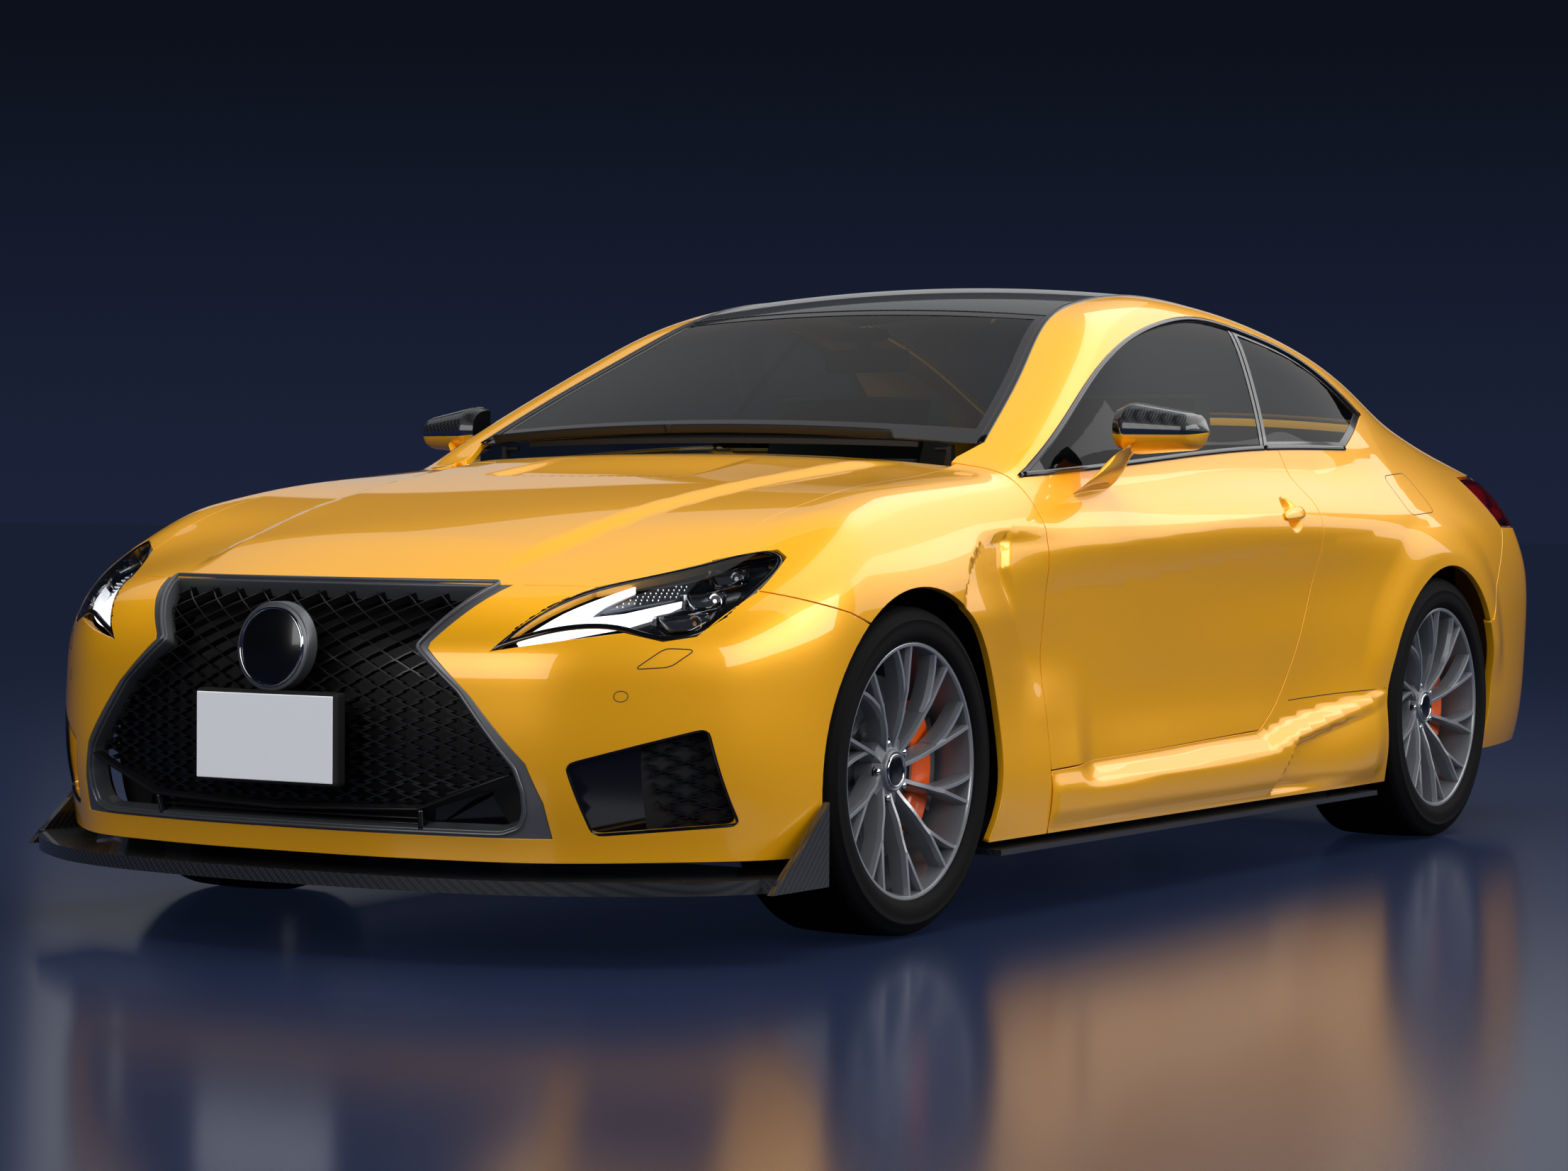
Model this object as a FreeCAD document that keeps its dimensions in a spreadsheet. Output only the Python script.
import FreeCAD, Part
import math
import os
import Sketcher
from FreeCAD import Matrix, Placement, Rotation, Vector

# A two-door sports coupe, millimetres, +X forward, +Y to the car's left, +Z up.
# The origin lies on the ground, at mid length, on the centre plane.

os.makedirs("parts", exist_ok=True)
doc = FreeCAD.newDocument("coupe")
sheet = doc.addObject("Spreadsheet::Sheet", "sizes")

SIZES = [
    # the whole car
    ("wheelbase", 2730), ("body_width", 1850), ("overall_height", 1390),
    # blends between the faces of the body's form
    ("shoulder_blend", 110), ("nose_blend", 60), ("tail_blend", 40), ("belt_blend", 40),
    ("haunch_blend", 120), ("roof_blend", 120), ("crease_width", 90), ("crease_height", 7),
    ("belt_softness", 60),
    # panels
    ("panel_gap", 6), ("door_gap", 7), ("seat_gap", 0.3), ("skin", 28), ("hood_thickness", 24),
    ("door_thickness", 108), ("door_inset", 60), ("door_skin", 26), ("side_thickness", 85),
    ("bumper_thickness", 45), ("lamp_depth", 90), ("glass_thickness", 5), ("glass_setback", 3),
    ("roof_thickness", 26), ("overrun", 60), ("surround_width", 36), ("mesh_thickness", 10),
    # wheels and tyres
    ("rim_lip_radius", 257.5), ("rim_well_radius", 226), ("rim_wall", 9), ("hub_radius", 72),
    ("front_tyre_radius", 330.5), ("front_tyre_width", 255), ("front_tyre_inset", 20),
    ("rear_tyre_radius", 337.5), ("rear_tyre_width", 275), ("rear_tyre_inset", 8),
    ("front_rim_inset", 12), ("front_rim_width", 240), ("rear_rim_inset", 5), ("rear_rim_width", 264),
    ("front_spoke_dish", 65), ("rear_spoke_dish", 66), ("bead_gap", 0.3), ("spoke_depth", 46),
    ("front_disc_radius", 190), ("rear_disc_radius", 180), ("disc_thickness", 30), ("disc_setback", 28),
    ("hub_bore_radius", 30), ("spindle_clearance", 0.4), ("moving_clearance", 6), ("cap_radius", 33),
    # wheel arches and liners
    ("front_arch_gap", 37.5), ("rear_arch_gap", 30.5), ("liner_setback", 28), ("liner_wall", 6),
    ("steering_room", 180), ("rear_liner_gap", 52), ("liner_inset", 125),
    # steering and hub carriers
    ("kingpin_inset", 93), ("kingpin_radius", 12), ("lower_ball_drop", 145.5), ("upper_ball_rise", 149.5),
    ("knuckle_width", 60), ("knuckle_depth", 40), ("arm_thickness", 28), ("arm_width", 64),
    ("rear_arm_inset", 111), ("subframe_half_length", 55),
    # underbody
    ("floor_thickness", 20), ("wall", 12), ("rail_width", 70), ("rail_depth", 80), ("rail_inset", 15),
    ("post_thickness", 50), ("beam_depth", 30), ("beam_height", 70), ("engine_gap", 70), ("engine_side_gap", 95),
    # doors
    ("hinge_setback", 90), ("hinge_pin_radius", 7), ("pin_clearance", 0.3), ("hinge_arm_height", 18),
    ("hinge_pocket_height", 30), ("hinge_pin_height", 66),
    # hood and trunk lid
    ("lid_hinge_pin_radius", 6), ("lid_arm_width", 12), ("lid_arm_height", 18), ("lid_thickness", 24),
    ("hood_pivot_setback", 70), ("hood_arm_drop", 80), ("lid_arm_inset", 70), ("lid_pivot_reach", 180),
    # cabin and exhaust
    ("seat_width", 460), ("steering_wheel_radius", 182), ("tip_radius", 42), ("tip_wall", 4),
]


class Sizes:
    """The sheet's cells, read by name."""


S = Sizes
cells = []


def add_size(alias, value):
    cells.append(alias)
    sheet.set(f"A{len(cells)}", alias)
    sheet.set(f"B{len(cells)}", f"{value:.9g}")
    sheet.setAlias(f"B{len(cells)}", alias)
    setattr(S, alias, value)


for alias, value in SIZES:
    add_size(alias, value)

# Half the car's length for each length of wheelbase.
HALF_LENGTH_SHARE = 0.86264
HALF_LENGTH = S.wheelbase * HALF_LENGTH_SHARE
HALF_WIDTH = S.body_width / 2
HEIGHT = S.overall_height
SIDES = (("left", 1), ("right", -1))

# Places along the car, as shares of its half length.
LENGTH_PLACE_SHARES = [
    ("front_axle_x", 0.6072), ("rear_axle_x", -0.5520), ("firewall_x", 0.4289), ("bulkhead_x", -0.4246),
    ("tail_panel_x", -0.9130), ("sill_rear_x", -0.3694), ("apron_front_x", 0.7558), ("beam_x", 0.8960),
    ("engine_front_x", 0.7049), ("door_front_x", 0.3580), ("hood_rear_x", 0.3461), ("lid_front_x", -0.7006),
    ("dash_rear_x", 0.1868), ("rear_seat_front_x", -0.2718),
]
# Places across the car, as shares of its half width.
WIDTH_PLACE_SHARES = [
    ("floor_half_width", 0.8216), ("sill_inner", 0.7459), ("sill_outer", 0.8432), ("tunnel_half_width", 0.1405),
    ("beam_half_width", 0.6919), ("post_outer", 0.8108), ("hinge_y", 0.9427), ("hood_arm_y", 0.6162),
    ("lid_half_width", 0.6054), ("seat_y", 0.4),
]
# Heights, as shares of the car's height.
HEIGHT_PLACE_SHARES = [
    ("belt_height", 0.6763), ("floor_z", 0.1079), ("sill_top", 0.2043), ("tunnel_top", 0.2446), ("firewall_top", 0.6115),
    ("apron_top", 0.5468), ("rail_low", 0.2950), ("shelf_z", 0.6871), ("boot_floor_z", 0.3022),
    ("boot_sill_z", 0.4964), ("boot_wall_top", 0.5612), ("side_fill_top", 0.6475), ("post_top", 0.6331),
    ("liner_low_z", 0.1835), ("beam_low", 0.3381), ("subframe_top", 0.1655), ("differential_low", 0.1439),
    ("engine_top", 0.5180), ("door_low_z", 0.2151), ("hinge_low_z", 0.3022), ("hinge_high_z", 0.5036),
    ("lid_low_z", 0.5079), ("hood_pivot_z", 0.7050), ("lid_pivot_z", 0.7086), ("steering_wheel_z", 0.5755),
]
for places, size in ((LENGTH_PLACE_SHARES, HALF_LENGTH), (WIDTH_PLACE_SHARES, HALF_WIDTH), (HEIGHT_PLACE_SHARES, HEIGHT)):
    for alias, share in places:
        add_size(alias, share * size)

# Places that follow the pieces next to them.
add_size("overall_length", HALF_LENGTH * 2)
add_size("half_length", HALF_LENGTH)
for end in ("front", "rear"):
    tyre_face = HALF_WIDTH - getattr(S, f"{end}_tyre_inset")
    rim_face = tyre_face - getattr(S, f"{end}_rim_inset")
    arch_radius = getattr(S, f"{end}_tyre_radius") + getattr(S, f"{end}_arch_gap")
    add_size(f"{end}_tyre_face", tyre_face)
    add_size(f"{end}_rim_face", rim_face)
    add_size(f"{end}_mount_face", rim_face - getattr(S, f"{end}_spoke_dish"))
    add_size(f"{end}_arch_radius", arch_radius)
    add_size(f"{end}_liner_radius", arch_radius + S.liner_setback)
add_size("front_liner_inner", S.front_tyre_face - S.front_tyre_width - S.steering_room)
add_size("boot_half_width", S.rear_tyre_face - S.rear_tyre_width - S.rear_liner_gap)
add_size("liner_outer", HALF_WIDTH - S.liner_inset)
add_size("rail_outer", S.front_liner_inner - S.rail_inset)
add_size("rail_high", S.rail_low + S.rail_depth)
add_size("beam_high", S.beam_low + S.beam_height)
add_size("post_inner", S.post_outer - S.post_thickness)
add_size("engine_half_width", S.rail_outer - S.rail_width - S.engine_side_gap)
add_size("engine_rear_x", S.firewall_x + S.engine_gap)
add_size("kingpin_y", S.front_mount_face - S.kingpin_inset)
add_size("rear_arm_end", S.rear_mount_face - S.rear_arm_inset)
add_size("lower_ball_z", S.front_tyre_radius - S.lower_ball_drop)
add_size("upper_ball_z", S.front_tyre_radius + S.upper_ball_rise)
add_size("hood_pivot_x", S.hood_rear_x - S.hood_pivot_setback)
add_size("lid_pivot_x", S.lid_front_x + S.lid_pivot_reach)
add_size("lid_arm_y", S.boot_half_width - S.lid_arm_inset)
doc.recompute()
FRONT_AXLE = S.front_axle_x
REAR_AXLE = S.rear_axle_x

# The body's half width, as shares of HALF_WIDTH, at stations along HALF_LENGTH
# and at heights that are shares of HEIGHT.
SIDE_HEIGHT_SHARES = [0.119, 0.180, 0.288, 0.396, 0.504, 0.590, 0.676, 0.755]
SIDE_WIDTH_SHARES = [
    (0.849, [0.951, 0.978, 0.986, 0.986, 0.968, 0.897, 0.800, 0.692]),
    (0.743, [0.951, 0.978, 0.989, 0.992, 0.978, 0.914, 0.805, 0.692]),
    (0.607, [0.957, 0.982, 0.992, 0.997, 0.992, 0.930, 0.811, 0.692]),
    (0.467, [0.962, 0.978, 0.973, 0.975, 0.978, 0.938, 0.838, 0.714]),
    (0.355, [0.962, 0.970, 0.956, 0.951, 0.960, 0.945, 0.865, 0.773]),
    (0.170, [0.962, 0.978, 0.949, 0.949, 0.964, 0.959, 0.878, 0.805]),
    (0.000, [0.962, 0.978, 0.951, 0.949, 0.962, 0.964, 0.881, 0.811]),
    (-0.170, [0.962, 0.982, 0.957, 0.954, 0.964, 0.970, 0.878, 0.805]),
    (-0.340, [0.968, 0.989, 0.978, 0.975, 0.978, 0.973, 0.870, 0.795]),
    (-0.467, [0.962, 0.989, 0.995, 0.997, 0.997, 0.973, 0.865, 0.789]),
    (-0.552, [0.962, 0.986, 1.000, 1.002, 1.000, 0.965, 0.854, 0.773]),
    (-0.679, [0.941, 0.968, 0.986, 0.991, 0.984, 0.938, 0.816, 0.724]),
    (-0.807, [0.897, 0.924, 0.941, 0.946, 0.935, 0.881, 0.757, 0.649]),
    (-0.913, [0.832, 0.859, 0.878, 0.886, 0.878, 0.827, 0.708, 0.605]),
    (-1.000, [0.757, 0.789, 0.811, 0.822, 0.816, 0.768, 0.649, 0.541]),
]
TOP_LINE_SHARES = [
    (1.000, 0.403), (0.977, 0.460), (0.929, 0.515), (0.849, 0.558), (0.722, 0.603),
    (0.607, 0.635), (0.488, 0.665), (0.374, 0.692), (0.170, 0.709), (0.000, 0.714),
    (-0.226, 0.722), (-0.388, 0.744), (-0.552, 0.761), (-0.722, 0.752), (-0.773, 0.745),
    (-0.849, 0.727), (-0.913, 0.711), (-0.968, 0.705),
]
CROWN_DROP_SHARES = [
    (0.934, 0.058), (0.864, 0.056), (0.796, 0.040), (0.734, 0.016), (0.648, 0.004),
    (0.573, 0.003), (0.417, 0.019), (0.354, 0.024), (0.000, 0.021), (-0.388, 0.020),
    (-0.637, 0.014), (-0.764, 0.016), (-0.955, 0.029),
]
NOSE_PROFILE_SHARES = [
    (0.612, 0.807), (0.547, 0.894), (0.515, 0.930), (0.468, 0.961), (0.424, 0.977),
    (0.360, 0.984), (0.288, 0.986), (0.216, 0.982), (0.144, 0.972), (0.072, 0.972),
]
NOSE_PLAN_SHARES = [
    (1.038, 0.297), (0.989, 0.221), (0.941, 0.170), (0.866, 0.127), (0.811, 0.104),
    (0.703, 0.064), (0.581, 0.031), (0.432, 0.014), (0.216, 0.002), (0.000, 0.000),
]
TAIL_PROFILE_SHARES = [
    (0.719, 0.972), (0.683, 0.966), (0.612, 0.970), (0.547, 0.977), (0.504, 0.992),
    (0.460, 1.000), (0.360, 1.000), (0.252, 0.994), (0.144, 0.977), (0.108, 0.972),
]
TAIL_PLAN_SHARES = [
    (1.000, 0.212), (0.930, 0.123), (0.886, 0.081), (0.838, 0.055), (0.786, 0.042),
    (0.703, 0.030), (0.541, 0.015), (0.324, 0.005), (0.000, 0.000),
]
ROOF_LINE_SHARES = [
    (0.467, 0.619), (0.425, 0.658), (0.382, 0.694), (0.297, 0.764), (0.212, 0.831),
    (0.127, 0.896), (0.054, 0.948), (0.000, 0.973), (-0.064, 0.991), (-0.127, 1.000),
    (-0.212, 0.997), (-0.297, 0.984), (-0.382, 0.960), (-0.467, 0.926), (-0.552, 0.881),
    (-0.637, 0.829), (-0.722, 0.771), (-0.786, 0.727), (-0.849, 0.680),
]
BELT_PLAN_SHARES = [
    (0.425, 0.876), (0.354, 0.889), (0.000, 0.895), (-0.226, 0.889), (-0.461, 0.876),
    (-0.552, 0.838), (-0.652, 0.773), (-0.764, 0.703), (-0.892, 0.616),
]


class Curve:
    """A smooth curve through chosen points, straight beyond its ends."""

    def __init__(self, points, across=1.0, along=1.0):
        points = sorted((u * across, v * along) for u, v in points)
        self.u = [p[0] for p in points]
        self.v = [p[1] for p in points]
        self.step = [b - a for a, b in zip(self.u, self.u[1:])]
        slopes = [(b - a) / h for a, b, h in zip(self.v, self.v[1:], self.step)]
        count = len(points)
        self.bend = [0.0] * count
        ratio = [0.0] * count
        rest = [0.0] * count
        for i in range(1, count - 1):
            pivot = 2 * (self.step[i - 1] + self.step[i]) - self.step[i - 1] * ratio[i - 1]
            ratio[i] = self.step[i] / pivot
            rest[i] = (6 * (slopes[i] - slopes[i - 1]) - self.step[i - 1] * rest[i - 1]) / pivot
        for i in range(count - 2, 0, -1):
            self.bend[i] = rest[i] - ratio[i] * self.bend[i + 1]
        self.first_slope = slopes[0] - self.step[0] * (2 * self.bend[0] + self.bend[1]) / 6
        self.last_slope = slopes[-1] + self.step[-1] * (self.bend[-2] + 2 * self.bend[-1]) / 6

    def __call__(self, u):
        if u <= self.u[0]:
            return self.v[0] + self.first_slope * (u - self.u[0])
        if u >= self.u[-1]:
            return self.v[-1] + self.last_slope * (u - self.u[-1])
        i = 0
        while u > self.u[i + 1]:
            i += 1
        h = self.step[i]
        a = self.u[i + 1] - u
        b = u - self.u[i]
        curved = (self.bend[i] * a ** 3 + self.bend[i + 1] * b ** 3) / (6 * h)
        return (curved + (self.v[i] / h - self.bend[i] * h / 6) * a
                + (self.v[i + 1] / h - self.bend[i + 1] * h / 6) * b)


def soft_min(a, b, blend):
    """The lesser of two depths, rounded over the blend."""
    near = max(blend - abs(a - b), 0.0) / blend
    return min(a, b) - near ** 3 * blend / 6


def soft_max(a, b, blend):
    return -soft_min(-a, -b, blend)


def clamp(value):
    return max(0.0, min(1.0, value))


top_line = Curve(TOP_LINE_SHARES, HALF_LENGTH, HEIGHT)
crown_drop = Curve(CROWN_DROP_SHARES, HALF_LENGTH, HEIGHT)
nose_profile = Curve(NOSE_PROFILE_SHARES, HEIGHT, HALF_LENGTH)
nose_plan = Curve(NOSE_PLAN_SHARES, HALF_WIDTH, HALF_LENGTH)
tail_profile = Curve(TAIL_PROFILE_SHARES, HEIGHT, HALF_LENGTH)
tail_plan = Curve(TAIL_PLAN_SHARES, HALF_WIDTH, HALF_LENGTH)
roof_line = Curve(ROOF_LINE_SHARES, HALF_LENGTH, HEIGHT)
belt_plan = Curve(BELT_PLAN_SHARES, HALF_LENGTH, HALF_WIDTH)
side_rows = [Curve([(x, row[i]) for x, row in SIDE_WIDTH_SHARES], HALF_LENGTH, HALF_WIDTH)
             for i in range(len(SIDE_HEIGHT_SHARES))]
sections = {}

# The crease along the doors: its height at the door's front edge, its rise to the
# tail and where it fades out, as shares.
CREASE_START_SHARE = 0.355
CREASE_HEIGHT_SHARE = 0.550
CREASE_RISE_SHARE = 0.06
CREASE_SOFT_SHARE = 0.02
CREASE_FADE_SHARES = (0.467, 0.127)
CROWN_WIDTH_SHARE = 0.757
CROWN_POWER_SHARE = 2.2
END_SLOPE_SHARE = 0.8
ROOF_CROWN_SHARE = 0.068
ROOF_SLOPE_SHARE = 0.93
TUMBLEHOME_SHARE = 0.42
TUMBLEHOME_BEND_SHARE = 0.49
HAUNCH_START_SHARE = 0.297
HAUNCH_LENGTH_SHARE = 0.212


def section_at(x):
    """The curve of half width over height at one station, kept for the next call."""
    if x not in sections:
        points = [(h, row(x)) for h, row in zip(SIDE_HEIGHT_SHARES, side_rows)]
        sections[x] = Curve([(h * HEIGHT, w) for h, w in points])
    return sections[x]


def crease_z(x):
    return CREASE_HEIGHT_SHARE * HEIGHT + (CREASE_START_SHARE * HALF_LENGTH - x) * CREASE_RISE_SHARE


def side_depth(x, y, z):
    """How far a point lies inside the flank."""
    away = math.sqrt(((z - crease_z(x)) / S.crease_width) ** 2 + CREASE_SOFT_SHARE)
    fade = clamp((CREASE_FADE_SHARES[0] * HALF_LENGTH - x) / (CREASE_FADE_SHARES[1] * HALF_LENGTH))
    return section_at(x)(z) + fade * S.crease_height * max(0.0, 1 - away) - abs(y)


def top_depth(x, y, z):
    across = abs(y) / (CROWN_WIDTH_SHARE * HALF_WIDTH)
    return top_line(x) - crown_drop(x) * across ** CROWN_POWER_SHARE - z


def nose_depth(x, y, z):
    return (nose_profile(z) - nose_plan(abs(y)) - x) * END_SLOPE_SHARE


def tail_depth(x, y, z):
    return (x + tail_profile(z) - tail_plan(abs(y))) * END_SLOPE_SHARE


def open_depth(x, y, z):
    """The body below the belt, not yet closed by the tail: flanks, hood, deck and nose."""
    depth = soft_min(side_depth(x, y, z), top_depth(x, y, z), S.shoulder_blend)
    return soft_min(depth, nose_depth(x, y, z), S.nose_blend)


def lower_depth(x, y, z):
    return soft_min(open_depth(x, y, z), tail_depth(x, y, z), S.tail_blend)


def cabin_depth(x, y, z):
    """The greenhouse: roof, screens and side windows."""
    rise = z - S.belt_height
    lean = (math.hypot(rise, S.belt_softness) + rise) / 2
    inward = TUMBLEHOME_SHARE * lean + TUMBLEHOME_BEND_SHARE * lean * lean / HEIGHT
    side = belt_plan(x) - inward - abs(y)
    crown = ROOF_CROWN_SHARE * y * y / (HALF_WIDTH ** 2 / HEIGHT)
    top = (roof_line(x) - crown - z) * ROOF_SLOPE_SHARE
    return soft_min(side, top, S.roof_blend)


def body_depth(x, y, z):
    haunch = clamp((-x - HAUNCH_START_SHARE * HALF_LENGTH) / (HAUNCH_LENGTH_SHARE * HALF_LENGTH))
    blend = S.belt_blend + (S.haunch_blend - S.belt_blend) * haunch
    depth = soft_max(open_depth(x, y, z), cabin_depth(x, y, z), blend)
    return soft_min(depth, tail_depth(x, y, z), S.tail_blend)


SOLVE_STEPS = 32


def reach(depth, origin, way):
    """The distance from an inner point, along a direction, to the form's surface."""
    low, high = 0.0, S.overall_length
    for _ in range(SOLVE_STEPS):
        middle = (low + high) / 2
        if depth(origin.x + way.x * middle, origin.y + way.y * middle, origin.z + way.z * middle) > 0:
            low = middle
        else:
            high = middle
    return (low + high) / 2


def spread(first, last, count):
    return [first + (last - first) * i / (count - 1) for i in range(count)]


def slab(rays, depth, outer, inner):
    """A curved plate between two depths under the form, over a grid of rays."""
    rows = [[], []]
    for line in rays:
        for store in rows:
            store.append([])
        for origin, way in line:
            far = reach(depth, origin, way)
            rows[0][-1].append(origin + way * (far - outer))
            rows[1][-1].append(origin + way * (far - inner))
    skins = []
    for points in rows:
        surface = Part.BSplineSurface()
        surface.interpolate(points)
        skins.append(surface.toShape())
    edges = [Part.makeRuledSurface(a, b) for a, b in zip(skins[0].Edges, skins[1].Edges)]
    shell = Part.Shell(skins + edges)
    shell.sewShape()
    solid = Part.Solid(shell)
    if solid.Volume < 0:
        solid.reverse()
    return solid


# Height of the lengthwise axis from which the flanks and roof are measured.
BARREL_AXIS_SHARE = 0.36


def barrel_rays(stations, low_angle, high_angle, count, side=1):
    """Rays from a lengthwise axis: angle 0 points to the flank and 90 degrees up."""
    rays = []
    for x in stations:
        angles = spread(low_angle(x), high_angle(x), count)
        origin = Vector(x, 0, BARREL_AXIS_SHARE * HEIGHT)
        rays.append([(origin, Vector(0, side * math.cos(a), math.sin(a))) for a in angles])
    return rays


def angle_to(y, z):
    return math.atan2(z - BARREL_AXIS_SHARE * HEIGHT, y)


def upright_rays(centre_x, low_angle, high_angle, count, heights, facing):
    """Rays from a vertical axis, round the nose (facing 1) or the tail (facing -1)."""
    rays = []
    for a in spread(low_angle, high_angle, count):
        way = Vector(facing * math.cos(a), math.sin(a), 0)
        rays.append([(Vector(centre_x, 0, z), way) for z in heights])
    return rays


def rising_rays(lines):
    """Rays straight up from the places that the lines give."""
    base = BARREL_AXIS_SHARE * HEIGHT
    return [[(Vector(x, y, base), Vector(0, 0, 1)) for x, y in line] for line in lines]


def loop(place, stretches):
    """A closed face from runs of corner points, or of curve points, end to end."""
    edges = []
    for kind, points in stretches:
        spots = [place(*p) for p in points]
        if kind == "curve":
            curve = Part.BSplineCurve()
            curve.interpolate(spots)
            edges.append(curve.toShape())
        else:
            edges += [Part.LineSegment(a, b).toShape() for a, b in zip(spots, spots[1:])]
    return Part.Face(Part.Wire(edges))


def grown(stretches, margin):
    """The same outline, every edge moved outward by the margin."""
    ring = [p for _, points in stretches for p in points[:-1]]
    count = len(ring)
    turn = sum(a[0] * b[1] - b[0] * a[1] for a, b in zip(ring, ring[1:] + ring[:1]))
    sign = 1 if turn > 0 else -1
    moved = []
    for i, (u, v) in enumerate(ring):
        before, after = ring[i - 1], ring[(i + 1) % count]
        first = Vector(v - before[1], before[0] - u, 0).normalize()
        second = Vector(after[1] - v, u - after[0], 0).normalize()
        way = (first + second) * (sign * margin / (1 + first.dot(second)))
        moved.append((u + way.x, v + way.y))
    result, start = [], 0
    for kind, points in stretches:
        stop = start + len(points) - 1
        result.append((kind, [moved[k % count] for k in range(start, stop + 1)]))
        start = stop
    return result


def side_prism(stretches, inner, outer, margin=0.0):
    """An outline in side view, pushed across the car from inner to outer."""
    face = loop(lambda x, z: Vector(x, min(inner, outer), z), grown(stretches, margin))
    return face.extrude(Vector(0, abs(outer - inner), 0))


def plan_prism(stretches, low, high, margin=0.0):
    """An outline in plan view, pushed up from low to high."""
    face = loop(lambda x, y: Vector(x, y, low), grown(stretches, margin))
    return face.extrude(Vector(0, 0, high - low))


def front_prism(stretches, rear, front, margin=0.0):
    """An outline in front view, pushed forward from rear to front."""
    face = loop(lambda y, z: Vector(rear, y, z), grown(stretches, margin))
    return face.extrude(Vector(front - rear, 0, 0))


def box(x, y, z):
    """A box between its low and high faces."""
    return Part.makeBox(x[1] - x[0], y[1] - y[0], z[1] - z[0], Vector(x[0], y[0], z[0]))


def rod(start, end, radius):
    return Part.makeCylinder(radius, (end - start).Length, start, end - start)


def mirrored(shape):
    """The same piece on the car's other side."""
    return shape.mirror(Vector(0, 0, 0), Vector(0, 1, 0))


def on_side(shape, side):
    return shape if side > 0 else mirrored(shape)


def both(shape):
    return Part.makeCompound([shape, mirrored(shape)])


def piece(name, shape):
    """A sub-part whose form is made of free-form plates."""
    made = doc.addObject("Part::Feature", name)
    made.Label = name
    made.Shape = shape
    subparts.append(made)
    return made


def block(name, x, y, z):
    """A box in the document, bound to the sheet by the expressions of its faces."""
    made = doc.addObject("Part::Box", name)
    made.setExpression("Length", f"({x[1]}) - ({x[0]})")
    made.setExpression("Width", f"({y[1]}) - ({y[0]})")
    made.setExpression("Height", f"({z[1]}) - ({z[0]})")
    made.setExpression("Placement.Base.x", x[0])
    made.setExpression("Placement.Base.y", y[0])
    made.setExpression("Placement.Base.z", z[0])
    return made


def block_pair(name, x, y, z):
    """The same box on both sides of the car."""
    return [block(name + "_left", x, y, z),
            block(name + "_right", x, (f"-({y[1]})", f"-({y[0]})"), z)]


def tube(name, radius, length, spot, turn):
    """A cylinder in the document, bound to the sheet."""
    made = doc.addObject("Part::Cylinder", name)
    made.setExpression("Radius", radius)
    made.setExpression("Height", length)
    made.Placement = Placement(Vector(0, 0, 0), turn)
    for axis, text in zip("xyz", spot):
        made.setExpression(f"Placement.Base.{axis}", text)
    return made


def fuse(name, parts):
    made = doc.addObject("Part::MultiFuse", name)
    made.Shapes = parts
    made.Label = name
    return made


def cut(name, base, tool):
    made = doc.addObject("Part::Cut", name)
    made.Base = base
    made.Tool = tool
    made.Label = name
    return made


def keep(made):
    subparts.append(made)
    return made


def origin_part(body, role):
    return [part for part in body.Origin.OriginFeatures if part.Role == role][0]


def sketch_polygon(body, name, role, corners):
    """A closed sketch whose corners are bound to the sheet by expressions."""
    sketch = body.newObject("Sketcher::SketchObject", name)
    sketch.AttachmentSupport = [(origin_part(body, role), "")]
    sketch.MapMode = "FlatFace"
    count = len(corners)
    ring = [Vector(math.cos(2 * math.pi * i / count), math.sin(2 * math.pi * i / count), 0)
            for i in range(count)]
    for i in range(count):
        sketch.addGeometry(Part.LineSegment(ring[i], ring[(i + 1) % count]), False)
    for i in range(count):
        sketch.addConstraint(Sketcher.Constraint("Coincident", i, 2, (i + 1) % count, 1))
    for i, corner in enumerate(corners):
        for kind, axis, text, guess in (("DistanceX", -2, corner[0], ring[i].x),
                                        ("DistanceY", -1, corner[1], ring[i].y)):
            if text == "0":
                sketch.addConstraint(Sketcher.Constraint("PointOnObject", i, 1, axis))
            else:
                number = sketch.addConstraint(Sketcher.Constraint(kind, -1, 1, i, 1, guess))
                sketch.setExpression(f"Constraints[{number}]", text)
    return sketch


def new_body(name):
    body = doc.addObject("PartDesign::Body", name)
    body.Label = name
    return body


def revolve(body, name, corners, kind="PartDesign::Revolution"):
    """A profile of (radius, distance along Y) turned about the body's Y axis."""
    sketch = sketch_polygon(body, name + "_profile", "XY_Plane", corners)
    made = body.newObject(kind, name)
    made.Profile = sketch
    made.ReferenceAxis = (origin_part(body, "Y_Axis"), [""])
    made.Angle = 360
    sketch.Visibility = False
    return made


def place_body(body, x, y, z):
    for axis, text in zip("xyz", (x, y, z)):
        body.setExpression(f"Placement.Base.{axis}", text)


subparts = []
FRONT_X = "sizes.front_axle_x"
REAR_X = "sizes.rear_axle_x"
ALONG_Y = Rotation(Vector(1, 0, 0), -90)


# Wheels: each tyre and rim is turned about its own axle.

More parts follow.
